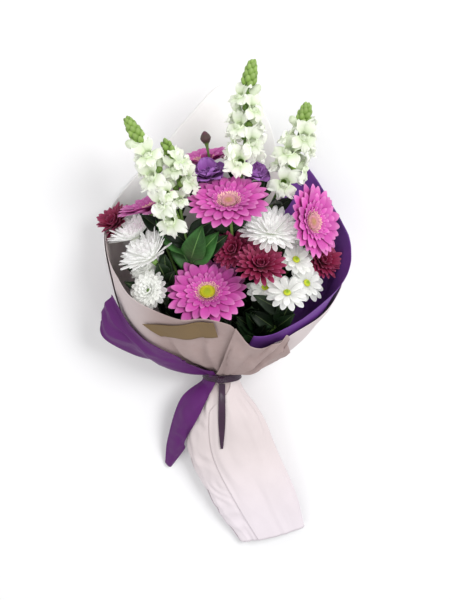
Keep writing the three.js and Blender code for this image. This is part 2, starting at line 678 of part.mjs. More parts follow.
/** One stem with the calyxes of its blooms; the first bloom's stem carries the others'. */
function addStem({ name, kind, heads, slot, fork = 0.8, extra }, guards) {
  const parts = [];
  let main = null;
  const [across, up] = slot;
  heads.forEach((head, k) => {
    const { profile, sides, join } = CALYX[head.kind ?? kind];
    const facing = V(...head.facing).normalize();
    const place = V(...head.at).addScaledVector(facing, -join);
    const others = guards.filter((guard) => guard.name !== head.name);
    const start = k ? [main.route.getPointAt(head.fork ?? fork)] : [
      V(STEM_END.x + across, STEM_END.y, STEM_END.z + 0.92 * up),
      V(across, -10, WAIST.z + up), V(across, 6, WAIST.z + up),
    ];
    const behind = facing.clone().negate();
    const size = k ? SIDE_STEM : MAIN_STEM;
    // Where no way leads round the room kept for other blooms, their petals give way later.
    const found = routeTube(start, place, behind, size, others)
      ?? routeTube(start, place, behind, size, []);
    if (!k) main = found;
    parts.push(found.stem);
    if (profile) parts.push(turned(profile, sides).transform(placement(head.at, head.facing).elements));
  });
  if (extra) parts.push(...extra(main));
  return { name, solid: joined(parts), route: main.route };
}

// ---------------------------------------------------------------- snapdragon spikes

// Radii of the green axis, its hole in the florets, their sleeve and the room kept for a spike; the
// shares of the axis between which florets sit; and how finely the axis and the sleeve are cut.
const SPINE = {
  stem: 1.7, hole: 2.7, sleeve: 4.2, guard: 8, sides: 4, from: 0.04, to: 0.72, steps: 6, rings: 5,
};

const spineOf = ({ route }) => smoothCurve(route.map((p) => V(...p)));

/** The spike's axis with the green buds of its tip. */
function spikeAxis(spike, random) {
  const spine = spineOf(spike);
  const parts = [tube(spine, SPINE.stem, SPINE.steps, SPINE.sides)];
  for (let k = 0; k < spike.buds; k++) {
    const share = (k + 1) / spike.buds;
    const size = 1.4 - 0.7 * share;
    const shape = solidOf(loft([
      squareSection(1.4, 0), squareSection(3.9 * size, 6 * size), [V(0, 0, 12 * size)],
    ]));
    const along = SPINE.to + (0.98 - SPINE.to) * share;
    const place = placementOnSpine(spine, along, k * GOLDEN + random() * 0.3, 0.9, 0.2);
    parts.push(shape.transform(place.elements));
  }
  return parts;
}

const GOLDEN = PI * (3 - Math.sqrt(5));

function squareSection(radius, height) {
  return [0, 1, 2, 3].map((k) => V(radius * cos(k * PI / 2), radius * sin(k * PI / 2), height));
}

/** A place on a spine, turned `angle` round it and leaning `lean` radians from it to its tip. */
function placementOnSpine(spine, along, angle, lean, out) {
  const tangent = spine.getTangentAt(along);
  const side = V(1, 0, 0).cross(tangent).normalize();
  const radial = side.clone().applyAxisAngle(tangent, angle);
  const axis = radial.clone().multiplyScalar(cos(lean)).addScaledVector(tangent, sin(lean));
  return placement(spine.getPointAt(along).addScaledVector(radial, out).toArray(), axis.toArray());
}

// A floret's rings: radius, height and how far every other corner is drawn in; and its throat's height.
const FLORET = { foot: [1.6, 0, 1], pouch: [6.4, 11, 1], mouth: [12, 23, 0.76], throat: 13 };

/** One open floret: a pouch that flares into a ruffled mouth. */
function floret(size) {
  const ring = (radius, height, ruffle) => Array.from({ length: 5 }, (_, k) => {
    const angle = 2 * PI * k / 5;
    const reach = size * radius * (k % 2 ? 1 : ruffle);
    return V(reach * cos(angle), reach * sin(angle), size * height * (k % 2 ? 1 : 0.9));
  });
  const { foot, pouch, mouth, throat } = FLORET;
  return solidOf(loft([ring(...foot), ring(...pouch), ring(...mouth), [V(0, 0, throat * size)]]));
}

/** The open florets of one spike, each turned or made smaller where it has no room. */
function openFlorets(spike, random) {
  const spine = spineOf(spike);
  const { from = SPINE.from, to = SPINE.to } = spike;
  const open = [];
  for (let k = 0; k < spike.florets; k++) {
    const share = (k + 0.5) / spike.florets;
    const angle = k * GOLDEN + 0.3 * random();
    const size = 1.1 - 0.45 * share;
    const tries = [1, 0.84, 0.7].flatMap((trim) => [0, 0.4, -0.4, 0.8, -0.8].map((turn) => {
      const place = placementOnSpine(spine, from + (to - from) * share, angle + turn, 0.5, 3.1);
      return floret(size * trim).transform(place.elements);
    }));
    const clear = tries.find((solid) => isClear(solid));
    if (clear) open.push(clear);
  }
  return open;
}

/** A thin sleeve round a spike's green axis, on which its florets sit. */
function sleeveOf(spike) {
  const { from = SPINE.from, to = SPINE.to } = spike;
  const spine = spineOf(spike);
  const part = Array.from({ length: SPINE.rings }, (_, k) => (
    spine.getPoint(from + (to - from) * k / (SPINE.rings - 1))));
  return tube(smoothCurve(part), SPINE.sleeve, SPINE.rings - 1, 5);
}

/** The florets of a plant's spikes, bored through for its green axes. */
function addFlorets({ spikes }, random) {
  const holes = spikes.map((spike) => tube(spineOf(spike), SPINE.hole, SPINE.steps, SPINE.sides));
  const bore = Manifold.union(holes);
  spikes.forEach((spike) => {
    takeBack(spike.name);
    const solids = [sleeveOf(spike), ...openFlorets(spike, random)];
    addPiece(spike.name, 'floret', joined(solids.map((solid) => solid.subtract(bore))));
  });
}

// ---------------------------------------------------------------- leaves

/** A leaf from root to tip, its upper face towards the light, as drawn or bent clear. */
function clearLeaf({ tip, width, arch = 0.35 }, root) {
  const along = V(...tip).sub(root);
  const length = along.length() * 1.03;
  along.normalize();
  const across = along.clone().cross(V(0, 0.22, 0.97)).normalize();
  const basis = new THREE.Matrix4().makeBasis(across, along, across.clone().cross(along));
  basis.setPosition(root);
  for (const trim of [1, 0.85, 0.7, 0.55]) {
    for (const bend of [0, 0.15, -0.15, 0.3, -0.3, 0.5, -0.5, 0.75]) {
      const shape = blade({ root: 0, length: length * trim, width: width * trim ** 0.5,
        outline: LEAF_OUTLINE, thick: LEAF, lift: arch + bend, curl: -2 * arch, trough: -0.12 });
      const leaf = shape.transform(basis.elements);
      if (isClear(leaf)) return leaf;
    }
  }
  return null;
}

// ---------------------------------------------------------------- the bouquet

const blooms = [...GERBERAS, ...SPIDER_MUMS, ...DAISIES_RIGHT, ...DAISIES_LEFT, ...MUMS, ...LISIANTHUSES];
const bloom = Object.fromEntries(blooms.map((entry) => [entry.name, entry]));
const single = (entry, kind) => ({ name: `${entry.name}_stem`, kind, heads: [entry] });

/** Where a spike's stem ends: at its lowest floret, heading along the spike. */
function spikeHead({ name, spikes }) {
  const tangents = spikes.map((spike) => spineOf(spike).getTangent(0));
  const facing = tangents.reduce((sum, tangent) => sum.add(tangent), V()).toArray();
  return { name, kind: 'spike', at: spikes[0].route[0], facing };
}

const random = seeded(41);
const STEMS = [
  ...LEAFY_STEMS.map(({ name, top }) => ({ name, kind: 'leafy',
    heads: [{ name, at: top, facing: V(...top).sub(WAIST).toArray() }] })),
  ...SNAPDRAGONS.map((plant) => ({ name: `${plant.name}_stem`, heads: [spikeHead(plant)],
    extra: () => plant.spikes.flatMap((spike) => spikeAxis(spike, random)) })),
  ...GERBERAS.map((entry) => single(entry, 'gerbera')),
  ...SPIDER_MUMS.map((entry) => single(entry, 'spider')),
  { name: 'lisianthus_stems', kind: 'lisianthus', heads: LISIANTHUSES, fork: 0.66 },
  { name: 'mum_centre_stems', kind: 'mum', heads: [bloom.mum_centre, bloom.mum_near], fork: 0.62 },
  single(bloom.mum_right, 'mum'),
  single(bloom.mum_left, 'mum'),
  { name: 'mum_back_stems', kind: 'mum', fork: 0.86,
    heads: [bloom.mum_back, { name: 'bud', kind: 'bud', at: BUD, facing: [-0.18, 0.97, 0.13] }] },
  { name: 'daisy_right_stems', kind: 'daisy', heads: DAISIES_RIGHT, fork: 0.6 },
  { name: 'daisy_left_stems', kind: 'daisy', heads: DAISIES_LEFT, fork: 0.66 },
];

/** Reserves the spikes' room while the other stems are routed. */
function spikeGuard({ name, spikes }) {
  const solid = Manifold.union(spikes.map((spike) => tube(spineOf(spike), SPINE.guard, 4, 6)));
  return { name, solid, box: boxOf(solid) };
}

function addStems() {
  const guards = [...blooms.map(guardOf), ...SNAPDRAGONS.map(spikeGuard)];
  const slots = fanOut(STEMS.map(({ heads }) => V(...heads[0].at)));
  STEMS.forEach((stem, k) => {
    const { name, solid, route } = addStem({ ...stem, slot: slots[k] }, guards);
    // A leafy stem becomes a piece once its leaves are on it.
    if (stem.kind === 'leafy') reserve(name, solid, { route });
    else addPiece(name, 'stem', solid);
  });
  SNAPDRAGONS.flatMap(({ spikes }) => spikes).forEach((spike) => {
    reserve(spike.name, sleeveOf(spike));
  });
}

const GERBERA_HEART = [[0, -3], [8.6, -3], [12, -1], [12, 1.2], [0, 1.2]];
const GERBERA_EYE = [[0, 1.55], [9.2, 1.55], [8.4, 3.4], [5.6, 2.7], [0, 4]];

function addGerbera({ name, at, facing, radius, cup, outer, inner }) {
  const matrix = placement(at, facing);
  addPiece(`${name}_eye`, 'gerberaEye', turned(GERBERA_EYE, 8), matrix);
  const lift = degrees(cup);
  const petals = [
    ...whorl(outer, { root: 9, length: radius - 9, width: 12.6 * radius / 44, outline: STRAP,
      plain: true, lift, curl: -0.1 }, random),
    ...whorl(inner, { root: 9.4, length: 0.44 * radius, width: 9, outline: OVAL,
      plain: true, lift: lift + 0.34 }, random, 0.2),
  ];
  addBloom(`${name}_petals`, 'gerbera', matrix, turned(GERBERA_HEART, 8), petals);
}

function addSpiderMum({ name, at, facing, radius, cup }) {
  const matrix = placement(at, facing);
  const heart = turned([[0, -4], [5, -4], [7, 0], [0, 5]], 6);
  const quill = { width: 4.6, outline: NEEDLE, thick: 1.7, curl: 0.25, plain: true };
  const petals = [
    ...whorl(9, { ...quill, root: 5, length: radius - 5, lift: degrees(cup) - 0.1 }, random),
    ...whorl(6, { ...quill, root: 4, length: 0.86 * radius - 4, lift: degrees(cup) + 0.3 }, random, 0.3),
    ...whorl(4, { ...quill, root: 2, length: 0.6 * radius, lift: degrees(cup) + 0.72 }, random, 0.1),
  ];
  addBloom(name, 'white', matrix, heart, petals);
}

function addDaisy({ name, at, facing, radius, cup, inner = 0 }) {
  const { hole, rim, half } = DAISY_RING;
  const ring = turned([[hole, -half], [rim, -half], [rim, half], [hole, half], [hole, -half]], 8);
  const spec = { root: 3.6, width: 8.6, outline: OVAL, plain: true };
  const petals = [
    ...whorl(10, { ...spec, length: radius - 3.6, lift: degrees(cup) }, random),
    ...whorl(inner, { ...spec, length: 0.7 * radius, width: 6, lift: degrees(cup) + 0.45 }, random, 0.3),
  ];
  addBloom(name, 'white', placement(at, facing), ring, petals);
}

function addMum({ name, at, facing, radius, cup }) {
  const heart = turned([[0, -3], [5, -3], [6.6, 0], [0, 4]], 6);
  const spec = { root: 4.4, outline: OVAL, plain: true };
  const petals = [
    ...whorl(10, { ...spec, length: radius - 4.4, width: 7.6, lift: degrees(cup) - 0.05 }, random),
    ...whorl(6, { ...spec, length: 0.68 * radius, width: 6.4, lift: degrees(cup) + 0.42 }, random, 0.2),
  ];
  addBloom(name, 'burgundy', placement(at, facing), heart, petals);
}

function addLisianthus({ name, at, facing, radius, cup }) {
  const heart = turned([[0, -5], [3.6, -5], [5.4, 0], [0, 5]], 6);
  const spec = { root: 2.5, outline: FAN, thick: 1.1, wave: 1.6, curl: -0.5 };
  const petals = [
    ...whorl(5, { ...spec, length: radius - 1, width: 21, lift: degrees(cup) + 0.2 }, random),
    ...whorl(3, { ...spec, length: 0.8 * radius, width: 16, lift: degrees(cup) + 0.62 }, random, 0.5),
  ];
  addBloom(name, 'violet', placement(at, facing), heart, petals);
}

function addLeafyStem({ name, leaves }) {
  const [{ solid: stem, route }] = takeBack(name);
  const { top, step } = LEAF_ROOTS;
  const clear = leaves.map((leaf, k) => clearLeaf(leaf, route.getPoint(top - step * k))).filter(Boolean);
  addPiece(name, 'leaf', joined([stem, ...clear]));
}

addWrap();
addRibbon();
addStems();
// The blooms nearest the eye are placed first, and those behind bend round them.
addGerbera(bloom.gerbera_front);
addGerbera(bloom.gerbera_top);
addMum(bloom.mum_centre);
addDaisy(bloom.daisy_right_1);
addSpiderMum(bloom.spider_mum_right);
addSpiderMum(bloom.spider_mum_lower);
addDaisy(bloom.daisy_left_1);
addGerbera(bloom.gerbera_right);
addDaisy(bloom.daisy_right_2);
addDaisy(bloom.daisy_right_3);
addDaisy(bloom.daisy_right_4);
addMum(bloom.mum_near);
SNAPDRAGONS.forEach((plant) => addFlorets(plant, random));
addGerbera(bloom.gerbera_left);
addSpiderMum(bloom.spider_mum_upper);
addDaisy(bloom.daisy_left_2);
addDaisy(bloom.daisy_right_5);
addMum(bloom.mum_right);
addMum(bloom.mum_left);
LISIANTHUSES.forEach(addLisianthus);
addMum(bloom.mum_back);
addGerbera(bloom.gerbera_back);
LEAFY_STEMS.forEach(addLeafyStem);

// The origin moves to the middle of the footprint, on the table.
const whole = new THREE.Box3().setFromObject(bouquet, true);
const footprint = whole.getCenter(V());
bouquet.position.set(-footprint.x, -footprint.y, -whole.min.z);
bouquet.updateMatrixWorld(true);

export default bouquet;
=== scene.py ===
"""The looks of a hand-tied mixed bouquet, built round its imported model.

Places and sizes in the tables are millimetres. X and Y count from the middle of the tie and Z
from the table, +Y towards the blooms. Everything in Blender is in metres.
"""

import json
import math

import bmesh
import bpy
import numpy as np
from mathutils import Matrix, Vector, noise
from mathutils.bvhtree import BVHTree

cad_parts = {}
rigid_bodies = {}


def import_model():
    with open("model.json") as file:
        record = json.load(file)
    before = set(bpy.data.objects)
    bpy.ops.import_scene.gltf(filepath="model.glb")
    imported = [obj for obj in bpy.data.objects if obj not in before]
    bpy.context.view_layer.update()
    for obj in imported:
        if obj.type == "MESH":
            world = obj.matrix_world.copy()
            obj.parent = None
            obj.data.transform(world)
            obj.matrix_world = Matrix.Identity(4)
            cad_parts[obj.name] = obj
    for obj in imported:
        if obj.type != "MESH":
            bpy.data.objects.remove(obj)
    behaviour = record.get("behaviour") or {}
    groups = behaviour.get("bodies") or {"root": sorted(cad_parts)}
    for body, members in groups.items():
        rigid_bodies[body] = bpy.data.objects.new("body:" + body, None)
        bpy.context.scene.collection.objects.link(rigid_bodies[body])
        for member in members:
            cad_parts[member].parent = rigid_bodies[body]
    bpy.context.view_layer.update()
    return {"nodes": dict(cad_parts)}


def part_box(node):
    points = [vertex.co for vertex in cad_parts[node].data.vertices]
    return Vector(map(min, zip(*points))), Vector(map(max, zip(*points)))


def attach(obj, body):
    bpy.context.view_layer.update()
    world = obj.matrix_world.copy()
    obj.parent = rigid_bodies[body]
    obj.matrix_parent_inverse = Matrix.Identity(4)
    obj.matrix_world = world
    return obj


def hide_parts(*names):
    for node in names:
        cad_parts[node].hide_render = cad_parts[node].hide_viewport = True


bl_info = {
    "name": "Mixed Bouquet",
    "version": (1, 0, 0),
    "blender": (4, 5, 0),
    "location": "View3D > Sidebar > Bouquet",
    "description": "Builds the blooms, leaves, paper and ribbon of a hand-tied bouquet",
    "category": "Add Mesh",
}

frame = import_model()
NODES = frame["nodes"]

MM = 0.001
TAU = 2 * math.pi
TWINE_LOW, TWINE_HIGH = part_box("stem_twine")
TIE_X = (TWINE_LOW.x + TWINE_HIGH.x) / 2
TIE_Y = TWINE_HIGH.y + 2 * MM  # the twine ends 2 mm short of the ribbon's middle
TIE_Z = 38.0  # height of the tie's middle, in millimetres as in the tables

# ---------------------------------------------------------------- where the blooms are

# The middle of each bloom, the way it faces, its radius and how far its petals rise, in degrees.
GERBERAS = {
    "gerbera_front": ((-16, 120, 126), (-0.06, 0.73, 0.68), 48, 9),
    "gerbera_top": ((8, 226, 140), (-0.07, 0.85, 0.52), 46, 8),
    "gerbera_right": ((102, 199, 110), (0.71, 0.26, 0.65), 43, 16),
    "gerbera_left": ((-80, 211, 94), (-0.34, 0.94, 0.07), 42, 20),
    "gerbera_back": ((-20, 262, 66), (-0.2, 0.97, 0.13), 36, 22),
}
YOUNG = ("gerbera_top", "gerbera_right", "gerbera_back")  # whose eye is still pink and fringed
SPIDER_MUMS = {
    "spider_mum_lower": ((-80, 160, 116), (-0.5, 0.81, 0.29), 36, 22),
    "spider_mum_upper": ((-101, 175, 78), (-0.41, 0.91, 0.11), 33, 30),
    "spider_mum_right": ((56, 189, 120), (0.03, 0.84, 0.54), 34, 10),
}
DAISIES = {
    "daisy_right_1": ((73, 124, 146), (0.06, 0.77, 0.63), 23, 6),
    "daisy_right_2": ((50, 126, 124), (-0.22, 0.6, 0.76), 21, 14),
    "daisy_right_3": ((96, 130, 120), (0.51, 0.5, 0.7), 22, 10),
    "daisy_right_4": ((84, 156, 116), (0.3, 0.65, 0.7), 20, 18),
    "daisy_right_5": ((76, 170, 86), (0.3, 0.75, 0.55), 19, 30),
    "daisy_left_1": ((-82, 122, 124), (-0.42, 0.42, 0.8), 25, 8),
    "daisy_left_2": ((-84, 142, 96), (-0.5, 0.68, 0.53), 24, 20),
}
MUMS = {
    "mum_centre": ((43, 155, 142), (0.06, 0.72, 0.69), 30, 14),
    "mum_near": ((13, 168, 116), (-0.4, 0.5, 0.77), 25, 12),
    "mum_right": ((116, 150, 84), (0.57, 0.45, 0.69), 26, 16),
    "mum_left": ((-125, 189, 56), (-0.62, 0.6, 0.5), 26, 20),
    "mum_back": ((24, 254, 54), (0.15, 0.97, 0.19), 28, 26),
}
LISIANTHUSES = {
    "lisianthus_left": ((-15, 247, 102), (-0.09, 0.9, 0.42), 24, 34),
    "lisianthus_right": ((31, 247, 96), (0.25, 0.86, 0.45), 24, 34),
}
BUD = ((-18, 291, 92), (-0.18, 0.97, 0.13))

# Each snapdragon spike: where its florets start, how many florets and then buds it bears, and
# its route.
SPIKES = {
    "snapdragon_left_florets": (0.06, 11, 30, (
        (-42, 192, 126), (-62, 243, 143), (-79, 278, 148), (-100, 314, 146))),
    "snapdragon_left_side_florets": (0.3, 8, 10, (
        (-42, 192, 126), (-47, 226, 136), (-50, 260, 140), (-61, 290, 138))),
    "snapdragon_centre_florets": (0.04, 13, 28, (
        (22, 258, 116), (26, 298, 126), (27, 336, 130), (33, 374, 130))),
    "snapdragon_right_florets": (0.04, 11, 24, (
        (66, 236, 92), (78, 265, 100), (86, 298, 108), (94, 327, 112))),
}
FLORETS_END = 0.78  # how far up a spike its florets are open
SPIRAL = 2.4  # radians from one floret or bud of a spike to the next
BUD_LENGTH = 11
BUD_PROFILE = ((0, 0), (2, 1), (3.5, 3.6), (3.7, 6.2), (2.6, 9), (1.2, 10.6), (0, BUD_LENGTH))
SEPAL_PROFILE = ((0, -0.6), (2, 0), (3.6, 2.4), (3.2, 5), (2.6, 5), (1.4, 1), (0, 0.6))
SHUT_PROFILE = (
    (1.2, 0), (2.8, 2), (3.9, 5), (3.5, 8), (4.3, 11), (3.6, 14), (1.4, 16), (0, 16.3))
THROAT_PROFILE = ((1.4, 0), (2.6, 2.5), (3.3, 6), (4.3, 10), (5, 13))
STEMS_OF_SPIKES = {
    "snapdragon_left_stem": ("snapdragon_left_florets", "snapdragon_left_side_florets"),
    "snapdragon_centre_stem": ("snapdragon_centre_florets",),
    "snapdragon_right_stem": ("snapdragon_right_florets",),
}

# Leaves: the top of each leafy stem, then the tip and width of each leaf.
LEAFY_STEMS = {
    "foliage_left": ((-37, 160, 104), (
        ((-80, 204, 126), 27), ((-15, 212, 132), 27), ((3, 186, 138), 26), ((-60, 177, 142), 15),
        ((-66, 141, 130), 24), ((-54, 211, 128), 18), ((-40, 212, 108), 25), ((-22, 190, 130), 20),
        ((-86, 190, 110), 24))),
    "foliage_right": ((104, 168, 70), (
        ((115, 156, 128), 15), ((146, 162, 100), 18), ((122, 143, 114), 14), ((84, 238, 118), 24),
        ((70, 222, 112), 13), ((128, 190, 86), 16), ((72, 214, 96), 20))),
}

# ---------------------------------------------------------------- the wrap's driving sizes

COLUMNS = 24  # 15 degrees each: 0 is the right side, 6 the front and 18 the table side
WAIST_RADIUS = 19.2
WAIST_HALF = 6
LAYER = 1.2  # between two sheets of paper at the tie
LAYER_SPREAD = 1.0  # how much further apart they are at the rim
LOWEST = 1.6  # height of the second layer where the wrap lies on the table
CLEAR_OF_PAPER = 1.45  # from the second layer to what lies over the paper
USUAL_CREASE = 1.6  # depth of the soft creases, for which the folds are given
# The rim, and how far the funnel bulges below it, for each of the columns.
RIM = (
    (148, 175, 88), (147, 152, 112), (130, 124, 130), (99, 99, 141), (66, 80, 144), (36, 76, 150),
    (10, 94, 163), (-16, 102, 170), (-44, 100, 167), (-72, 107, 154), (-97, 118, 140),
    (-116, 136, 121), (-129, 160, 98), (-134, 185, 62), (-128, 208, 28), (-108, 236, 8),
    (-78, 268, 1.6), (-38, 314, 1.6), (4, 350, 1.6), (46, 318, 1.6), (80, 280, 1.6),
    (108, 246, 10), (130, 212, 36), (142, 193, 62))
BELLY = (25, 23, 18, 12, 7, 4, 4, 4, 5, 10, 24, 36, 42, 42, 38, 36, 36, 40, 40, 40, 36, 30, 28, 26)
# The skirt: distance along, middle, width, lowest height, depth and slant, down to the waist.
SKIRT = (
    (-230, 66, 80, 1.6, 13, 0.26), (-170, 40, 98, 1.6, 32, 0.14), (-100, 11, 100, 1.6, 47, 0.04),
    (-50, 3, 78, 8, 52, 0), (-24, 0, 50, 16, 44, 0),
    (-WAIST_HALF, 0, 2 * WAIST_RADIUS, TIE_Z - WAIST_RADIUS, 2 * WAIST_RADIUS, 0))
# Nets of points, row by row, that the loose pieces are smoothed from, and their fine grids.
HEM = (
    ((-4, 76, 148), (-24, 74, 145), (-48, 73, 137), (-69, 70, 124)),
    ((-9, 97, 170), (-34, 96, 168), (-63, 90, 146), (-89, 86, 125)),
)
LAPEL = (
    ((-7, 7, 59), (0, 7, 61), (7, 7, 60), (13, 7, 56), (17, 7, 52), (16, 7, 53), (14, 7, 54)),
    ((3, 44, 116), (12, 37, 106), (24, 30, 101), (36, 30, 98), (39, 22, 88), (33, 15, 76), (27, 10, 66)),
    ((16, 92, 169), (29, 72, 153), (47, 62, 148), (68, 86, 148), (79, 54, 128), (68, 37, 106),
     (60, 29, 90)),
)
POUCH = (
    ((-66, -138, 4), (-68, -138, 5), (-71, -136, 5), (-74, -132, 4)),
    ((-44, -99, 26), (-52, -95, 35), (-61, -93, 33), (-69, -92, 22)),
    ((-26, -46, 58), (-34, -42, 62), (-44, -36, 56), (-51, -32, 44)),
    ((-7.3, -7, 58), (-15.1, -7, 53.1), (-19.3, -7, 47), (-21.2, -7, 40)),
    ((-7.3, 6, 58), (-15.1, 6, 53.1), (-19.3, 6, 47), (-21.2, 6, 40)),
    ((-12, 18, 70), (-20, 17, 67), (-29, 15, 62), (-36, 11, 48)),
    ((-38, 36, 84), (-50, 30, 79), (-64, 29, 76), (-72, 19, 54)),
    ((-76, 62, 108), (-88, 52, 88), (-99, 51, 84), (-105, 28, 58)),
    ((-110, 84, 104), (-122, 72, 84), (-134, 60, 76), (-140, 52, 64)),
    ((-128, 112, 98), (-134, 100, 84), (-138, 86, 72), (-141, 70, 62)),
)
RIBBON_TAIL = (
    ((4, -7.3, 62.6), (-4, -7.3, 62.6)), ((4, -30, 63), (-4, -30, 63)),
    ((4, -60, 61), (-4, -60, 61)), ((1.5, -93, 54), (-1.5, -93, 54)),
)
HEM_GRID, LAPEL_GRID, POUCH_GRID, TAIL_GRID = (12, 60), (50, 64), (150, 44), (60, 7)
# The lapel's sharp folds: depth, place across it, slant and half width.
LAPEL_FOLDS = ((8, 0.4, 0.04, 0.1), (7, 0.64, -0.04, 0.1), (3, 0.2, 0, 0.09))
RIBBON_RADIUS = 23.75
RIBBON_LOW, RIBBON_HIGH = -6.4, 2.4  # its edges, along the bouquet
WEAVE_UNIT = 9  # millimetres of ribbon to one unit of its weave
KNOT_AT, KNOT_SIZE = (-1, -2, 65.3), (5.8, 4.8, 3)

# ---------------------------------------------------------------- sizes and colours to change


def tone(name, text, value):
    """A colour to change."""
    return bpy.props.FloatVectorProperty(
        name=name, description=text, subtype="COLOR", size=3, min=0, max=1, default=value)


def span(name, text, millimetres):
    """A length to change."""
    return bpy.props.FloatProperty(
        name=name, description=text, unit="LENGTH", min=0, default=millimetres * MM, precision=4)


class BouquetPaper(bpy.types.PropertyGroup):
    # One pale pink paper in different light: pink, for the funnel and lapel, is darkened with painted
    # shade; skirt, lower edge and back are lit copies of it, lighter with painted light below the tie and
    # towards the back, the back nearly white.
    pink: tone("Pink", "Outer wrapping paper round the blooms", (0.36, 0.257, 0.243))
    skirt: tone("Skirt", "The same paper below the tie", (0.65, 0.57, 0.572))
    hem: tone("Lower edge", "The same paper at the cut ends", (0.77, 0.7, 0.75))
    back: tone("Back", "The pale back of the wrap", (0.93, 0.92, 0.91))
    purple: tone("Purple", "The gathered pouch and its tail", (0.1, 0.012, 0.13))
    violet: tone("Violet", "The inner sheet", (0.15, 0.045, 0.27))
    khaki: tone("Khaki", "Reverse of the front sheet", (0.19, 0.125, 0.06))
    thickness: span("Thickness", "Thickness of a sheet", 0.45)
    crease: span("Crease", "Depth of the soft creases", USUAL_CREASE)


class BouquetRibbon(bpy.types.PropertyGroup):
    colour: tone("Ribbon", "Ribbon round the waist", (0.03, 0.006, 0.028))
    twine: tone("Twine", "Twine round the stems", (0.42, 0.3, 0.15))
    thickness: span("Thickness", "Thickness of the ribbon", 0.5)


class BouquetBlooms(bpy.types.PropertyGroup):
    magenta: tone("Magenta", "Gerbera petals", (0.56, 0.037, 0.36))
    white: tone("White", "Chrysanthemum and daisy petals", (0.93, 0.94, 0.9))
    burgundy: tone("Burgundy", "Dark chrysanthemum petals", (0.22, 0.004, 0.038))
    violet: tone("Violet", "Lisianthus petals", (0.25, 0.05, 0.3))
    cream: tone("Cream", "Snapdragon florets", (0.88, 0.92, 0.78))
    eye: tone("Eye", "Yellow-green middles", (0.66, 0.66, 0.015))
    petal: span("Petal", "Thickness of a petal", 0.3)


class BouquetGreens(bpy.types.PropertyGroup):
    stem: tone("Stem", "Stems and sepals", (0.13, 0.24, 0.05))
    leaf: tone("Leaf", "Leaves", (0.036, 0.135, 0.026))
    bud: tone("Bud", "Snapdragon tips", (0.18, 0.3, 0.05))
    thickness: span("Thickness", "Thickness of a leaf", 0.4)


class BouquetStage(bpy.types.PropertyGroup):
    floor: tone("Floor", "The floor's colour", (0.86, 0.86, 0.87))
    lens: bpy.props.FloatProperty(name="Lens", description="Focal length", unit="CAMERA", default=65.5)
    key: bpy.props.FloatProperty(name="Key light", description="Its power", unit="POWER", default=25)
    fill: bpy.props.FloatProperty(name="Fill light", description="Its power", unit="POWER", default=8)
    sky: bpy.props.FloatProperty(name="Sky", description="Strength of the even light", default=0.72)


# ---------------------------------------------------------------- small geometry tools


def spot(x, y, z):
    """A place in the tables' millimetres as a point of the frame."""
    return Vector((TIE_X + x * MM, TIE_Y + y * MM, z * MM))


def spots(places):
    """The same for an array of places."""
    return np.asarray(places, float) * MM + np.array((TIE_X, TIE_Y, 0))


def in_tables(points):
    """Points of the frame, back in the tables' millimetres."""
    return (points - np.array((TIE_X, TIE_Y, 0))) / MM


def smooth_values(knots, values, at):
    """A smooth line through `values`, which may be points, at the places `at` between `knots`."""
    knots, values, at = np.asarray(knots, float), np.asarray(values, float), np.asarray(at, float)
    slopes = np.gradient(values, knots, axis=0) if len(knots) > 2 else np.tile(
        (values[1] - values[0]) / (knots[1] - knots[0]), (2,) + (1,) * (values.ndim - 1))
    i = np.clip(np.searchsorted(knots, at, side="right") - 1, 0, len(knots) - 2)
    step = knots[i + 1] - knots[i]
    t = (at - knots[i]) / step
    if values.ndim > 1:
        t, step = t[:, None], step[:, None]
    a, b = values[i], values[i + 1]
    rise_a, rise_b = slopes[i] * step, slopes[i + 1] * step
    return (a * (1 + 2 * t) * (1 - t) ** 2 + rise_a * t * (1 - t) ** 2
            + b * t * t * (3 - 2 * t) + rise_b * t * t * (t - 1))


def smooth_step(value, low, high):
    """From 0 at `low` to 1 at `high`, with soft ends."""
    t = np.clip((value - low) / (high - low), 0, 1)
    return t * t * (3 - 2 * t)


def smooth_noise(x, y, z):
    """Soft noise from -1 to 1 for arrays of places."""
    x, y, z = np.broadcast_arrays(x, y, z)
    flat = [noise.noise(Vector(p)) for p in zip(x.ravel(), y.ravel(), z.ravel())]
    return np.array(flat).reshape(x.shape)


def seat(at, facing, spin=0.0, height=0.0):
    """The matrix, in millimetres, that takes +Z at the origin to `facing` at `at`."""
    turn = Vector((0, 0, 1)).rotation_difference(Vector(facing).normalized()).to_matrix().to_4x4()
    place = Matrix.Translation(at) @ turn @ Matrix.Translation((0, 0, height))
    return place @ Matrix.Rotation(spin, 4, "Z")


def matrix_of(axes, place):
    """The matrix that takes X, Y and Z to the columns of `axes`, at a place."""
    matrix = Matrix.Identity(4)
    for row in range(3):
        matrix[row][:] = (*axes[row], place[row])
    return matrix


def placed(points, matrix):
    """Points in a bloom's millimetres, taken to their place in the frame."""
    m = np.array(matrix)
    return spots(points @ m[:3, :3].T + m[:3, 3])


def grid_faces(rows, columns):
    """The quads of a grid of rows x columns corners, in reading order."""
    first = (np.arange(rows - 1)[:, None] * columns + np.arange(columns - 1)).ravel()
    return np.stack((first, first + 1, first + columns + 1, first + columns), axis=1)


def grid_normals(points):
    """The way out of a grid of points, from its neighbours."""
    normals = np.cross(np.gradient(points, axis=0), np.gradient(points, axis=1))
    return normals / np.maximum(np.linalg.norm(normals, axis=2, keepdims=True), 1e-12)


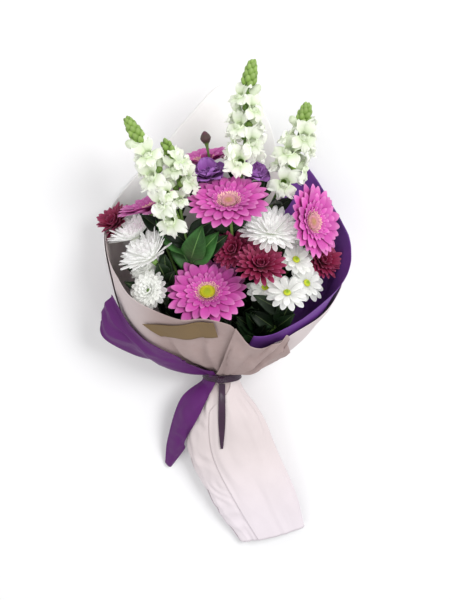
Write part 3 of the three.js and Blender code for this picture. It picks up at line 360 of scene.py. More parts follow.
class Heap:
    """Surfaces that are gathered into one mesh, with a tint and a place on the surface each."""

    def __init__(self):
        self.points, self.faces, self.places, self.tints, self.count = [], [], [], [], 0

    def add(self, points, faces, places=None, tint=0.5):
        points = np.asarray(points, float)
        self.points.append(points)
        self.faces.extend([corner + self.count for corner in face] for face in faces)
        self.places.append(np.zeros((len(points), 2)) if places is None else np.asarray(places))
        self.tints.append(np.full(len(points), float(tint)))
        self.count += len(points)
        return self

    def add_shape(self, shape, matrix, along=1.0):
        """Adds a turned shape in a bloom's millimetres, its places shrunk to `along`."""
        points, faces, places = shape
        return self.add(placed(points, matrix), faces, places * (1, along))

    def object(self, name, material):
        """The finished object: smooth, with its places as a UV map and its tints as an attribute."""
        mesh = bpy.data.meshes.new(name)
        mesh.from_pydata(np.concatenate(self.points).tolist(), [], self.faces)
        mesh.attributes.new("tint", "FLOAT", "POINT").data.foreach_set(
            "value", np.concatenate(self.tints))
        corner = np.empty(len(mesh.loops), np.int32)
        mesh.loops.foreach_get("vertex_index", corner)
        places = np.concatenate(self.places)[corner]
        mesh.uv_layers.new(name="place").data.foreach_set("uv", places.ravel())
        mesh.polygons.foreach_set("use_smooth", np.ones(len(mesh.polygons), bool))
        mesh.materials.append(material)
        piece = bpy.data.objects.new(name, mesh)
        bpy.context.scene.collection.objects.link(piece)
        return piece


def only(piece):
    """Selects one object and nothing else."""
    bpy.ops.object.select_all(action="DESELECT")
    piece.select_set(True)
    bpy.context.view_layer.objects.active = piece


def join(piece, other):
    """Makes another object part of a piece."""
    only(piece)
    other.select_set(True)
    bpy.ops.object.join()


def thicken(piece, thickness):
    """Gives sheets, petals and leaves their thickness."""
    only(piece)
    wall = piece.modifiers.new("wall", "SOLIDIFY")
    wall.thickness = thickness
    wall.offset = 0
    bpy.ops.object.modifier_apply(modifier=wall.name)


def shape_of(piece):
    """The corners of an object's mesh, and its faces."""
    points = np.empty(3 * len(piece.data.vertices))
    piece.data.vertices.foreach_get("co", points)
    return points.reshape(-1, 3), [tuple(face.vertices) for face in piece.data.polygons]


class Room:
    """The room that each piece takes, or its node until then, so that petals keep clear of it."""

    def __init__(self):
        self.taken = {}
        for name, node in NODES.items():
            self.take(name, *shape_of(node))

    def take(self, name, points, faces):
        tree = BVHTree.FromPolygons(points.tolist(), faces)
        self.taken[name] = (points.min(0), points.max(0), tree)

    def is_free(self, points, faces, own, gap=0.3 * MM):
        """Whether a surface keeps its distance from all but its own bloom."""
        low, high = points.min(0) - gap, points.max(0) + gap
        near = [tree for name, (a, b, tree) in self.taken.items()
                if name not in own and (low <= b).all() and (a <= high).all()]
        if not near:
            return True
        tree = BVHTree.FromPolygons(points.tolist(), faces.tolist(), epsilon=gap)
        return not any(other.overlap(tree) for other in near)


ROOM = Room()


def settle(piece, nodes):
    """The finished piece rides on the part, stands for its nodes and takes up their room."""
    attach(piece, "root")
    if nodes:
        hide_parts(*nodes)
    for name in nodes:
        ROOM.taken.pop(name, None)
    ROOM.take(piece.name, *shape_of(piece))


# ---------------------------------------------------------------- materials


class Nodes:
    """A material's node tree, with short ways to add what this bouquet's finishes need."""

    def __init__(self, name, roughness, **constants):
        self.material = bpy.data.materials.new(name)
        self.material.use_nodes = True
        self.tree = self.material.node_tree
        self.shader = self.tree.nodes["Principled BSDF"]
        self.shader.inputs["Roughness"].default_value = roughness
        for socket, value in constants.items():
            self.shader.inputs[socket.replace("_", " ")].default_value = value

    def add(self, kind, **settings):
        node = self.tree.nodes.new(kind)
        for key, value in settings.items():
            setattr(node, key, value)
        return node

    def link(self, source, target):
        self.tree.links.new(source, target)

    def feed(self, sockets, values):
        """Gives each socket a number, a colour or what another node puts out."""
        for socket, value in zip(sockets, values):
            if isinstance(value, bpy.types.NodeSocket):
                self.link(value, socket)
            elif isinstance(value, (int, float)):
                socket.default_value = value
            else:
                socket.default_value = (*value, 1)

    def objects(self):
        return self.add("ShaderNodeTexCoord").outputs["Object"]

    def place(self):
        """Across and along a petal, leaf or sheet, from 0 to 1."""
        split = self.add("ShaderNodeSeparateXYZ")
        self.link(self.add("ShaderNodeUVMap", uv_map="place").outputs["UV"], split.inputs["Vector"])
        return split.outputs["X"], split.outputs["Y"]

    def tint(self):
        return self.add("ShaderNodeAttribute", attribute_name="tint").outputs["Fac"]

    def math(self, operation, a, b=0.0):
        node = self.add("ShaderNodeMath", operation=operation)
        self.feed(node.inputs, (a, b))
        return node.outputs[0]

    def noise(self, vector, scale, detail=3.0, roughness=0.5):
        node = self.add("ShaderNodeTexNoise")
        self.link(vector, node.inputs["Vector"])
        node.inputs["Scale"].default_value = scale
        node.inputs["Detail"].default_value = detail
        node.inputs["Roughness"].default_value = roughness
        return node.outputs["Fac"]

    def stretched(self, vector, scale):
        node = self.add("ShaderNodeMapping")
        self.link(vector, node.inputs["Vector"])
        node.inputs["Scale"].default_value = scale
        return node.outputs["Vector"]

    def join(self, x, y, z=0.0):
        node = self.add("ShaderNodeCombineXYZ")
        self.feed(node.inputs, (x, y, z))
        return node.outputs[0]

    def ramp(self, factor, *stops):
        """Colours along `factor`: each stop is a place and a colour."""
        node = self.add("ShaderNodeValToRGB")
        self.link(factor, node.inputs["Fac"])
        elements = node.color_ramp.elements
        while len(elements) < len(stops):
            elements.new(0.5)
        for element, (place, colour) in zip(elements, stops):
            element.position = place
            element.color = (*colour, 1)
        return node.outputs["Color"]

    def mix(self, factor, a, b, blend="MIX"):
        node = self.add("ShaderNodeMix", data_type="RGBA", blend_type=blend)
        self.feed([node.inputs[k] for k in (0, 6, 7)], (factor, a, b))
        return node.outputs[2]

    def brightened(self, colour, value):
        """A colour, lighter or darker by `value`."""
        node = self.add("ShaderNodeHueSaturation")
        self.feed((node.inputs["Value"], node.inputs["Color"]), (value, colour))
        return node.outputs["Color"]

    def bump(self, height, distance, strength=0.5):
        node = self.add("ShaderNodeBump")
        self.link(height, node.inputs["Height"])
        node.inputs["Distance"].default_value = distance
        node.inputs["Strength"].default_value = strength
        self.link(node.outputs["Normal"], self.shader.inputs["Normal"])

    def colour(self, source):
        self.link(source, self.shader.inputs["Base Color"])
        return self.material


def shade(colour, factor):
    """A darker or lighter colour."""
    return tuple(min(max(c * factor, 0), 1) for c in colour)


def blend(a, b, t):
    """The colour that lies at `t` between two others."""
    return tuple(x * (1 - t) + y * t for x, y in zip(a, b))


def petal_finish(name, stops, streak=0.16, veins=26, roughness=0.55, variety=0.3, glow=0.0, painted_glow=0.0):
    """Petals: colours from root to tip, fine streaks along them and a tint of their own.

    `variety` is how much their brightness varies, `glow` how far light goes through them, and the
    emission strength after them is painted light: a glow in the petals' own colour that stands in
    for the light that white petals throw on each other many times over.
    """
    nodes = Nodes(name, roughness, Sheen_Weight=0.05, Sheen_Roughness=0.5, Specular_IOR_Level=0.3,
                  Subsurface_Weight=glow, Subsurface_Radius=(1, 1, 1), Subsurface_Scale=0.006,
                  Emission_Strength=painted_glow)
    across, along = nodes.place()
    tint = nodes.tint()
    fine = nodes.join(nodes.math("MULTIPLY", across, veins), nodes.math("MULTIPLY", along, 2.0),
                      nodes.math("MULTIPLY", tint, 40.0))
    lines = nodes.noise(fine, 1.0, 2.0)
    base = nodes.ramp(along, *stops)
    darker = nodes.mix(nodes.math("MULTIPLY", lines, streak * 2), base, (0.0, 0.0, 0.0), "MULTIPLY")
    brightness = nodes.math("ADD", nodes.math("MULTIPLY", tint, variety), 1 - variety / 2)
    colour = nodes.brightened(nodes.mix(streak, base, darker), brightness)
    nodes.bump(lines, 0.0003, 0.5)
    # Painted light: the petals glow in their own colour, standing in for the light bounced many times
    # between white petals.
    if painted_glow:
        nodes.link(colour, nodes.shader.inputs["Emission Color"])
    return nodes.colour(colour)


def paper_finish(name, colour, roughness=0.6, turns=()):
    """Matt florist's paper: a fine fibre, faint handling marks and softly uneven colour.

    Each of `turns` is (across, along, low, high, colour): its colour takes over between two
    values of across * X + along * Y, counted from the tie.
    """
    nodes = Nodes(name, roughness, Specular_IOR_Level=0.25)
    where = nodes.objects()
    cloudy = nodes.noise(where, 14.0, 4.0)
    fibre = nodes.noise(where, 900.0, 2.0)
    rubbed = nodes.noise(where, 90.0, 5.0, 0.65)
    split = nodes.add("ShaderNodeSeparateXYZ")
    nodes.link(where, split.inputs["Vector"])
    base = colour
    # The turns paint light and shade: lighter and darker stretches of the same paper.
    for across, along, low, high, other in turns:
        share = nodes.add("ShaderNodeMapRange", interpolation_type="SMOOTHSTEP")
        distance = nodes.math("ADD", nodes.math("MULTIPLY", split.outputs["X"], across),
                              nodes.math("MULTIPLY", split.outputs["Y"], along))
        nodes.link(distance, share.inputs["Value"])
        tie = across * TIE_X + along * TIE_Y
        share.inputs["From Min"].default_value = tie + low
        share.inputs["From Max"].default_value = tie + high
        base = nodes.mix(share.outputs["Result"], base, other)
    if turns:
        base = nodes.mix(nodes.math("MULTIPLY", rubbed, 0.16), base, (0.8, 0.76, 0.76))
    patchy = nodes.math("ADD", nodes.math("MULTIPLY", cloudy, 0.24), 0.88)
    nodes.bump(nodes.math("ADD", nodes.math("MULTIPLY", fibre, 0.35), rubbed), 0.0004, 0.35)
    return nodes.colour(nodes.brightened(base, patchy))


def leaf_finish(name, colour):
    """Waxy leaves: a pale midrib and side veins that fork off it."""
    nodes = Nodes(name, 0.52, Specular_IOR_Level=0.3, Coat_Weight=0.06, Coat_Roughness=0.35)
    across, along = nodes.place()
    tint = nodes.tint()
    off_rib = nodes.math("ABSOLUTE", nodes.math("SUBTRACT", across, 0.5))
    rib = nodes.math("LESS_THAN", off_rib, 0.022)
    slanted = nodes.math("SUBTRACT", along, nodes.math("MULTIPLY", off_rib, 0.55))
    wave = nodes.math("ABSOLUTE", nodes.math("SINE", nodes.math("MULTIPLY", slanted, 32.0)))
    veins = nodes.math("LESS_THAN", wave, 0.12)
    blotch = nodes.noise(nodes.objects(), 60.0, 4.0)
    base = nodes.ramp(blotch, (0.25, shade(colour, 0.7)), (0.75, shade(colour, 1.5)))
    veined = nodes.mix(nodes.math("MULTIPLY", veins, 0.22), base, shade(colour, 3.0))
    midrib = blend(shade(colour, 4), (0.4, 0.5, 0.2), 0.4)
    ribbed = nodes.mix(nodes.math("MULTIPLY", rib, 0.6), veined, midrib)
    brightness = nodes.math("ADD", nodes.math("MULTIPLY", tint, 0.8), 0.6)
    nodes.bump(nodes.math("ADD", veins, rib), 0.0004, 0.4)
    return nodes.colour(nodes.brightened(ribbed, brightness))


def stem_finish(name, colour):
    """Stems and sepals: green with paler stretches and fine ribs."""
    nodes = Nodes(name, 0.5)
    where = nodes.objects()
    patchy = nodes.noise(where, 40.0, 3.0)
    ribs = nodes.noise(nodes.stretched(where, (900.0, 30.0, 900.0)), 1.0, 1.0)
    base = nodes.ramp(patchy, (0.3, shade(colour, 0.65)), (0.72, shade(colour, 1.35)))
    nodes.bump(ribs, 0.0003, 0.5)
    return nodes.colour(base)


def eye_finish(name, heart, colour, rim):
    """The middle of a bloom, from its heart to its rim, with a fine grain."""
    nodes = Nodes(name, 0.7)
    _, along = nodes.place()
    grain = nodes.noise(nodes.objects(), 1200.0, 2.0)
    base = nodes.ramp(along, (0.0, heart), (0.6, colour), (1.0, rim))
    nodes.bump(grain, 0.0004, 0.6)
    return nodes.colour(nodes.mix(nodes.math("MULTIPLY", grain, 0.25), base, shade(colour, 0.4)))


def satin_finish(name, colour):
    """Satin ribbon: fine weave across, with a soft sheen."""
    nodes = Nodes(name, 0.4)
    across, along = nodes.place()
    weave = nodes.math("SINE", nodes.math("MULTIPLY", along, 1800.0))
    ribs = nodes.math("SINE", nodes.math("MULTIPLY", across, 160.0))
    cloudy = nodes.noise(nodes.objects(), 60.0, 3.0)
    nodes.bump(nodes.math("ADD", weave, ribs), 0.0001, 0.4)
    return nodes.colour(nodes.ramp(cloudy, (0.3, shade(colour, 0.8)), (0.7, shade(colour, 1.3))))


# ---------------------------------------------------------------- the wrap

FINE = 8  # columns of the fine grid for each of the wrap's own
SKIRT_ROWS, FUNNEL_ROWS = 70, 84


def round_the_wrap(values, at):
    """A smooth closed line through one value, or point, for each of the wrap's columns."""
    values = np.asarray(values, float)
    closed = np.concatenate((values[-2:], values, values[:3]))
    return smooth_values(np.arange(-2, COLUMNS + 3), closed, at)


def facets(value):
    """A fold like a roof, from 0 to 1, with flat sides and crisp edges."""
    return np.abs(2 * (value - np.floor(value)) - 1)


class Wrap:
    """The wrap's second layer as a fine grid, with which way is out and how it is creased."""

    def __init__(self, crease):
        columns = np.arange(COLUMNS * FINE) / FINE
        angle = TAU * columns / COLUMNS
        skirt = self.skirt(angle)
        rest = [self.waist(y, angle) for y in (-WAIST_HALF / 3, WAIST_HALF / 3)]
        self.funnel_row = len(skirt) + len(rest)
        stations = np.linspace(0, 1, FUNNEL_ROWS)
        self.points = np.concatenate((skirt, rest, self.funnel(stations, columns, angle)))
        self.station = np.concatenate((np.zeros(self.funnel_row), stations))
        along = np.gradient(self.points, axis=0)
        around = np.roll(self.points, -1, axis=1) - np.roll(self.points, 1, axis=1)
        out = np.cross(along, around)
        self.out = out / np.linalg.norm(out, axis=2, keepdims=True)
        height = np.clip((self.points[..., 2] - LOWEST) / 40, 0, 1)
        self.step = LAYER + LAYER_SPREAD * self.station[:, None] * height  # between two layers
        self.crease = self.creases(angle, crease)
        surface = self.points + self.out * self.crease[..., None]
        closed = np.concatenate((surface, surface[:, :1]), axis=1)
        self.faces = grid_faces(*closed.shape[:2])
        self.tree = BVHTree.FromPolygons(closed.reshape(-1, 3).tolist(), self.faces.tolist())

    def skirt(self, angle):
        table = np.array(SKIRT)
        along = np.linspace(table[0, 0], table[-1, 0], SKIRT_ROWS)
        rows = smooth_values(table[:, 0], table, along)
        y, middle, width, low, depth, slant = (rows[:, k, None] for k in range(6))
        across = width / 2 * np.cos(angle)
        height = low + depth / 2 * (1 + np.sin(angle))
        return np.stack((middle + across, y + slant * across, height), 2)

    def waist(self, y, angle):
        height = TIE_Z + WAIST_RADIUS * np.sin(angle)
        return np.stack((WAIST_RADIUS * np.cos(angle), np.full(len(angle), y), height), 1)

    def funnel(self, stations, columns, angle):
        start = self.waist(WAIST_HALF, angle)
        along = round_the_wrap(RIM, columns) - start
        straight = along / np.linalg.norm(along, axis=1, keepdims=True)
        out = np.stack((np.cos(angle), np.zeros(len(angle)), np.sin(angle)), 1)
        out -= straight * (out * straight).sum(1, keepdims=True)
        out /= np.linalg.norm(out, axis=1, keepdims=True)
        bulge = round_the_wrap(np.array(BELLY)[:, None], columns)
        s = stations[:, None, None]
        points = start + along * s + out * bulge * np.sin(math.pi * s ** 0.8)
        points[..., 2] = np.maximum(points[..., 2], LOWEST)
        return points

    def creases(self, angle, depth):
        """How far the paper stands out of its smooth shape: pleats at the tie, soft folds beyond."""
        x, y, z = np.moveaxis(self.points, 2, 0)
        away = np.where(y < 0, -y, np.linalg.norm(self.points - (0, 0, TIE_Z), axis=2))
        ring = angle[None, :]
        drift = smooth_noise(np.cos(ring) * 1.7, np.sin(ring) * 1.7, away * 0.012)
        # Small pleats run into the tie.
        pleats = 0.5 + 0.5 * np.sin(15 * ring + 3.2 * drift)
        near = smooth_step(away, 7, 30) * (1 - smooth_step(away, 60, 190))
        # Long folds, slanting ones and soft dents begin further away.
        folds = facets(7 * ring / TAU + 0.9 * drift)
        slants = facets(x * 0.011 + y * 0.007 + z * 0.009
                        + 0.8 * smooth_noise(x * 0.01, y * 0.01, z * 0.01))
        soft = np.clip(0.5 + smooth_noise(x * 0.022, y * 0.016, z * 0.022), 0, 1)
        far = smooth_step(away, 14, 90)
        lifted = smooth_step(z, LOWEST + 1, LOWEST + 16)  # flat where it lies on the table
        column = ring * COLUMNS / TAU
        below = smooth_step(-y, 8, 34)
        # Down the skirt the paper's front edge lies over a crumpled part.
        flap = 0.8 * smooth_step(column, 3, 7.8) * (1 - smooth_step(column, 7.8, 8.2)) * below
        crushed = facets(x * 0.03 + y * 0.034 + 1.4 * smooth_noise(x * 0.03, y * 0.03, z * 0.03))
        under = smooth_step(column, 7.8, 8.4) * (1 - smooth_step(column, 11.5, 13))
        crumple = 1.9 * crushed * under * below
        # Large folds run from the tie over the front of the funnel.
        front = smooth_step(column, 3.5, 5.5) * (1 - smooth_step(column, 11.5, 13.5))
        pleat = 0.55 * column + 0.3 * drift
        fans = 4.6 * (pleat - np.floor(pleat)) * front * smooth_step(y, 8, 60)
        fans = fans * (1 - smooth_step(away, 84, 150))
        total = 1.7 * pleats * near + far * (1.5 * folds + 1.2 * slants + soft) + fans
        return depth / MM * (total + flap + crumple) * lifted / USUAL_CREASE

    def sheet(self, rows, first, last, layer, has_cell=None, limit=None, edge=None):
        """Part of the wrap from one row and column to another, in one of its layers.

        `has_cell` says which cells of it are paper, by how far up the funnel they are and their
        column, and `limit` how far up each column it reaches. `edge` is the last column above the
        tie, where the sheet only reaches `last` down the skirt.
        """
        low, high = rows
        columns = np.arange(first * FINE, last * FINE + 1)
        wanted = np.arange(low, high)[:, None] + np.zeros(len(columns))
        around = columns / FINE + np.zeros(wanted.shape)
        if edge:
            along = self.points[low:high, 0, 1][:, None]
            reach = edge + (last - 0.2 - edge) * smooth_step(-along, WAIST_HALF + 1, 46)
            around = first + (around - first) * (reach - first) / (last - first)
        if limit:
            share = limit(columns / FINE)
            beyond = wanted > self.funnel_row
            shorter = self.funnel_row + (wanted - self.funnel_row) * share
            wanted = np.where(beyond, shorter, wanted)
        floor = np.clip(np.floor(wanted).astype(int), 0, len(self.points) - 2)
        whole = np.floor(around * FINE + 1e-6).astype(int)
        left, right = whole % (COLUMNS * FINE), (whole + 1) % (COLUMNS * FINE)
        down, aside = wanted - floor, np.clip(around * FINE - whole, 0, 1)

        def at(field):
            up, by = (down[..., None], aside[..., None]) if field.ndim == 3 else (down, aside)
            lower = field[floor, left] * (1 - by) + field[floor, right] * by
            upper = field[floor + 1, left] * (1 - by) + field[floor + 1, right] * by
            return lower * (1 - up) + upper * up

        offset = layer * at(self.step) + at(self.crease)
        points = at(self.points) + at(self.out) * offset[..., None]
        points[..., 2] = np.maximum(points[..., 2], LOWEST - layer * LAYER)
        faces = grid_faces(*points.shape[:2])
        if has_cell is not None:
            row, column = np.divmod(np.arange(len(faces)), points.shape[1] - 1)
            kept = has_cell(self.station[low + row], (first * FINE + column) / FINE)
            faces = faces[kept]
        return points, faces

    def outside(self, points, gap, over_all):
        """Points moved straight out until they are `gap` from the second layer, or the outer one."""
        shape = points.shape
        moved = points.reshape(-1, 3).copy()
        width = COLUMNS * FINE
        for k, point in enumerate(moved):
            for _ in range(3):
                foot, _, index, _ = self.tree.find_nearest(point.tolist())
                row, column = divmod(index, width)
                out = self.out[row, column]
                wanted = gap + (self.step[row, column] if over_all else 0)
                short = wanted - (point - np.array(foot)) @ out
                if short <= 0:
                    break
                point += out * short
            moved[k] = point
        return moved.reshape(shape)


def net_points(net, rows, columns):
    """A fine grid through a small net of points, smooth both ways."""
    net = np.array(net, float)
    lines, across, _ = net.shape
    fine = smooth_values(np.arange(across), net.transpose(1, 0, 2).reshape(across, -1),
                         np.linspace(0, across - 1, columns)).reshape(columns, lines, 3)
    return smooth_values(np.arange(lines), fine.transpose(1, 0, 2).reshape(lines, -1),
                         np.linspace(0, lines - 1, rows)).reshape(rows, columns, 3)


def paper(name, nodes, slot, points, faces, material, thickness):
    """A sheet of paper as a finished piece."""
    rows, columns = points.shape[:2]
    along, across = np.mgrid[0:1:rows * 1j, 0:1:columns * 1j]
    used, faces = np.unique(faces, return_inverse=True)
    faces = faces.reshape(-1, 4)
    places = np.stack((across, along), 2).reshape(-1, 2)
    piece = Heap().add(spots(points.reshape(-1, 3)[used]), faces, places[used]).object(name, material)
    thicken(piece, thickness)
    settle(piece, nodes)


def eased(points, times):
    """Evens out a grid of points, all but its edges."""
    points = points.copy()
    for _ in range(times):
        beside = points[1:-1, :-2] + points[1:-1, 2:]
        points[1:-1, 1:-1] = (beside + points[:-2, 1:-1] + points[2:, 1:-1]) / 4
    return points


def rumpled(points, depth, seed, scale=0.03):
    """A sheet's points with small folds, outward only."""
    normals = -grid_normals(points)
    x, y, z = np.moveaxis(points, 2, 0)
    soft = np.clip(0.5 + smooth_noise(x * scale + seed, y * scale, z * scale), 0, 1)
    crisp = facets((x + y) * scale * 0.7 + smooth_noise(x * scale, y * scale + seed, z * scale))
    cross = facets((x - y) * scale * 0.5 + 0.8 * smooth_noise(x * scale, y * scale, z * scale + seed))
    return points + normals * (depth * (0.6 * soft + crisp + 0.7 * cross))[..., None]


class BOUQUET_OT_wrap(bpy.types.Operator):
    """Folds the sheets of paper round the bouquet"""

    bl_idname = "bouquet.wrap"
    bl_label = "Wrap"

    def execute(self, context):
        look = context.scene.bouquet_paper
        wrap, wall = Wrap(look.crease), look.thickness
        # Painted light and shade on the pink paper: the shaded funnel colour turns lighter towards the
        # left side, lighter below the tie and lighter still towards the lower edge.
        pink = paper_finish("pink_paper", look.pink, 0.62, (
            (-1, 0, 0.06, 0.11, blend(look.pink, look.skirt, 0.7)),
            (0, -1, -0.01, 0.04, look.skirt), (0, -1, 0.08, 0.22, look.hem)))
        # The back sheet: the skirt's lit colour, lightened further with painted light towards the lower
        # edge and to nearly white towards the blooms and the left.
        painted_light_sheet = paper_finish("faded_paper", look.skirt, 0.62, (
            (0, -1, 0.08, 0.22, look.hem), (-0.5, 1, 0.17, 0.26, look.back)))
        self.sheets(wrap, pink, painted_light_sheet, paper_finish("violet_paper", look.violet, 0.5), wall)
        hem = wrap.outside(net_points(HEM, *HEM_GRID), CLEAR_OF_PAPER + 1.3, False)
        paper("hem", ["paper_hem"], "wrap_khaki", hem, grid_faces(*HEM_GRID),
              paper_finish("khaki_paper", look.khaki, 0.7), wall)
        self.lapel(wrap, pink, wall)
        self.pouch(wrap, paper_finish("purple_paper", look.purple, 0.55), wall)
        return {"FINISHED"}

    def sheets(self, wrap, pink, painted_light_sheet, violet, wall):
        """The three sheets round the stems, from the outside to the inside."""
        end = len(wrap.points)
        back = wrap.sheet((0, end), 12, 32, 1, limit=lambda c: 1 - 0.14 * smooth_step(c, 21, 22),
                          edge=28)
        paper("back_sheet", ["paper_back"], "wrap_pink", *back, painted_light_sheet, wall)
        front = wrap.sheet(
            (0, end), -1, 14, 0, lambda station, column: (station <= 0.11) | (column >= 4.5),
            lambda c: 1 - 0.3 * (1 - smooth_step(c, 4.8, 6)))
        paper("front_sheet", ["paper_front"], "wrap_pink", *front, pink, wall)
        inner = wrap.sheet((SKIRT_ROWS, end), -4, 5, -1)
        paper("inner_sheet", ["paper_purple_right"], "wrap_purple", *inner, violet, wall)

    def lapel(self, wrap, pink, wall):
        """The front sheet's turned-out edge, with its sharp folds."""
        lapel = wrap.outside(net_points(LAPEL, *LAPEL_GRID), CLEAR_OF_PAPER + 0.4, True)
        rows, columns = LAPEL_GRID
        along, across = np.mgrid[0:1:rows * 1j, 0:1:columns * 1j]
        folds = sum(depth * np.clip(1 - np.abs(across - place - slant * along) / half, 0, 1)
                    for depth, place, slant, half in LAPEL_FOLDS)
        lapel = lapel - grid_normals(lapel) * (folds * smooth_step(along, 0.08, 0.6))[..., None]
        lapel = rumpled(lapel, 0.7 * smooth_step(along, 0.05, 0.3), 5)
        paper("lapel", ["paper_lapel"], "wrap_pink", lapel, grid_faces(*LAPEL_GRID), pink, wall)

    def pouch(self, wrap, purple, wall):
        """The gathered pouch and its tail, loose above and below the tie."""
        pouch = wrap.outside(net_points(POUCH, *POUCH_GRID), CLEAR_OF_PAPER + 1.2, True)
        across = np.linspace(0, 1, POUCH_GRID[1])[None, :]
        y = pouch[..., 1]
        loose = smooth_step(np.abs(y), 12, 32)[..., None]
        pouch = pouch + loose * (eased(pouch, 16) - pouch)
        gathers = 4.5 * smooth_step(across, 0.14, 0.26) + 2.5 * facets(2.6 * across + 0.2)
        gathers = gathers * smooth_step(across, 0.1, 0.3) * smooth_step(y, 8, 90)
        pouch = pouch + grid_normals(pouch) * gathers[..., None]
        middle = (1 - np.abs(2 * across - 1) ** 3) * smooth_step(y, -134, -112)
        pouch = rumpled(pouch, 1.5 * middle * (1 - np.exp(-(y / 22) ** 2)), 3, 0.036)
        paper("pouch", ["paper_purple_left"], "wrap_purple", pouch, grid_faces(*POUCH_GRID), purple,
              wall)


# ---------------------------------------------------------------- ribbon and twine


class BOUQUET_OT_ribbon(bpy.types.Operator):
    """Ties the ribbon round the waist, with its knot and tail, and finishes the twine"""

    bl_idname = "bouquet.ribbon"
    bl_label = "Ribbon"

    def execute(self, context):
        look = context.scene.bouquet_ribbon
        satin = satin_finish("satin", look.colour)
        turns, height = 160, 12
        angle = np.linspace(0, TAU, turns + 1)[None, :]
        y = np.linspace(RIBBON_LOW, RIBBON_HIGH, height)[:, None]
        gather = 0.35 * np.sin(y * 2.1 + 1.5 * np.sin(2 * angle)) + 0.2 * np.sin(y * 4.3 + 3 * angle)
        radius = RIBBON_RADIUS + gather
        ring = np.stack(np.broadcast_arrays(
            radius * np.cos(angle), y, TIE_Z + radius * np.sin(angle)), 2).reshape(-1, 3)
        places = np.stack(np.broadcast_arrays(
            (y - RIBBON_LOW) / WEAVE_UNIT, angle / TAU), 2).reshape(-1, 2)
        band = Heap().add(spots(ring), grid_faces(height, turns + 1), places).object(
            "ribbon_round", satin)
        only(band)
        bpy.ops.object.mode_set(mode="EDIT")
        bpy.ops.mesh.select_all(action="SELECT")
        bpy.ops.mesh.remove_doubles(threshold=1e-6)
        bpy.ops.object.mode_set(mode="OBJECT")
        thicken(band, look.thickness)
        settle(band, ["ribbon_band"])
        self.knot(satin)

        wrap = Wrap(context.scene.bouquet_paper.crease)
        tail = wrap.outside(net_points(RIBBON_TAIL, *TAIL_GRID), CLEAR_OF_PAPER, True)
        tail[..., 2] += 0.5 + 0.5 * np.sin(tail[..., 1] * 0.13)
        piece = Heap().add(spots(tail.reshape(-1, 3)), grid_faces(*TAIL_GRID)).object("tail", satin)
        thicken(piece, look.thickness)
        settle(piece, ["ribbon_tail"])

        twine = NODES["stem_twine"].data
        twine.materials.clear()
        twine.materials.append(stem_finish("twine", look.twine))
        return {"FINISHED"}

    def knot(self, satin):
        """A soft knot: a ball pinched by the folds of the ribbon that crosses over it."""
        bpy.ops.mesh.primitive_uv_sphere_add(segments=48, ring_count=32, radius=1)
        piece = bpy.context.object
        piece.name = "knot"
        (at_x, at_y, at_z), (wide, long, high) = KNOT_AT, KNOT_SIZE
        for vertex in piece.data.vertices:
            x, y, z = vertex.co
            fold = 1 + 0.07 * math.sin(9 * x + 3 * z) + 0.05 * math.sin(13 * y)
            pinch = 1 - 0.22 * math.exp(-(x / 0.35) ** 2)
            vertex.co = spot(
                at_x + wide * x * fold, at_y + long * y * fold * pinch, at_z + high * z * fold)
        only(piece)
        bpy.ops.object.shade_smooth()
        piece.data.uv_layers[0].name = "place"
        piece.data.materials.append(satin)
        settle(piece, [])


# ---------------------------------------------------------------- petals

OUTLINES = {
    "strap": ((0, 0.34), (0.3, 0.72), (0.75, 1), (1, 0.92)),
    "broad": ((0, 0.34), (0.35, 0.84), (0.7, 1), (1, 0.85)),
    "quill": ((0, 0.62), (0.5, 0.85), (0.85, 1), (1, 0.7)),
    "spoon": ((0, 0.36), (0.4, 0.72), (0.72, 1), (1, 0.8)),
    "fan": ((0, 0.2), (0.35, 0.66), (0.75, 1), (1, 0.9)),
    "lobe": ((0, 0.55), (0.5, 1), (1, 0.9)),
    "leaf": ((0, 0.1), (0.1, 0.3), (0.38, 1), (0.66, 0.86), (0.88, 0.4), (1, 0.05)),
}


def petal(length, width, outline, root=0.0, height=0.0, lift=0.0, curl=0.0, cup=0.0, ridges=0,
          ridge=0.0, ruffle=0.0, waves=2.0, phase=0.0, notch=0.0, tip=0.74, sharp=0.5, fold=0.0,
          rows=11, columns=7):
    """A petal or leaf along +Y from `root`: its points, faces and places."""
    s = np.linspace(0, 1, rows)
    t = 1 - (1 - s) ** 1.5
    slope = lift + curl * t
    middle = np.concatenate((slope[:1], (slope[1:] + slope[:-1]) / 2))
    step = np.diff(t, prepend=0) * length
    y = root + np.cumsum(step * np.cos(middle))
    z = height + np.cumsum(step * np.sin(middle))
    half = width / 2 * smooth_values(*zip(*OUTLINES[outline]), t)
    if tip < 1:
        half *= np.maximum(1 - (np.clip(t - tip, 0, 1) / (1 - tip)) ** 2, 0.03) ** sharp
    t, slope, half, y, z = (value[:, None] for value in (t, slope, half, y, z))
    u = np.linspace(-1, 1, columns)[None, :]
    rise = half * (cup * u * u + fold * np.abs(u))
    if ridges:
        rise = rise + ridge * np.cos(ridges * math.pi * u) * np.sin(math.pi * np.clip(t + 0.1, 0, 1))
    if ruffle:
        edge = np.abs(u) ** 2 * smooth_step(t, 0.1, 0.9)
        end = smooth_step(t, 0.6, 1)
        rise = rise + ruffle * edge * np.sin(waves * t * TAU + phase + np.sign(u))
        rise = rise + ruffle * end * np.sin(waves * u * math.pi + phase)
    back = notch * length * (np.exp(-(u / 0.22) ** 2) - 0.5 * np.abs(u) ** 3) * smooth_step(t, 0.7, 1)
    points = np.stack(np.broadcast_arrays(
        half * u, y - np.sin(slope) * rise - back * np.cos(slope),
        z + np.cos(slope) * rise - back * np.sin(slope)), 2)
    places = np.stack(np.broadcast_arrays((u + 1) / 2, t), 2)
    return points.reshape(-1, 3), grid_faces(rows, columns), places.reshape(-1, 2)


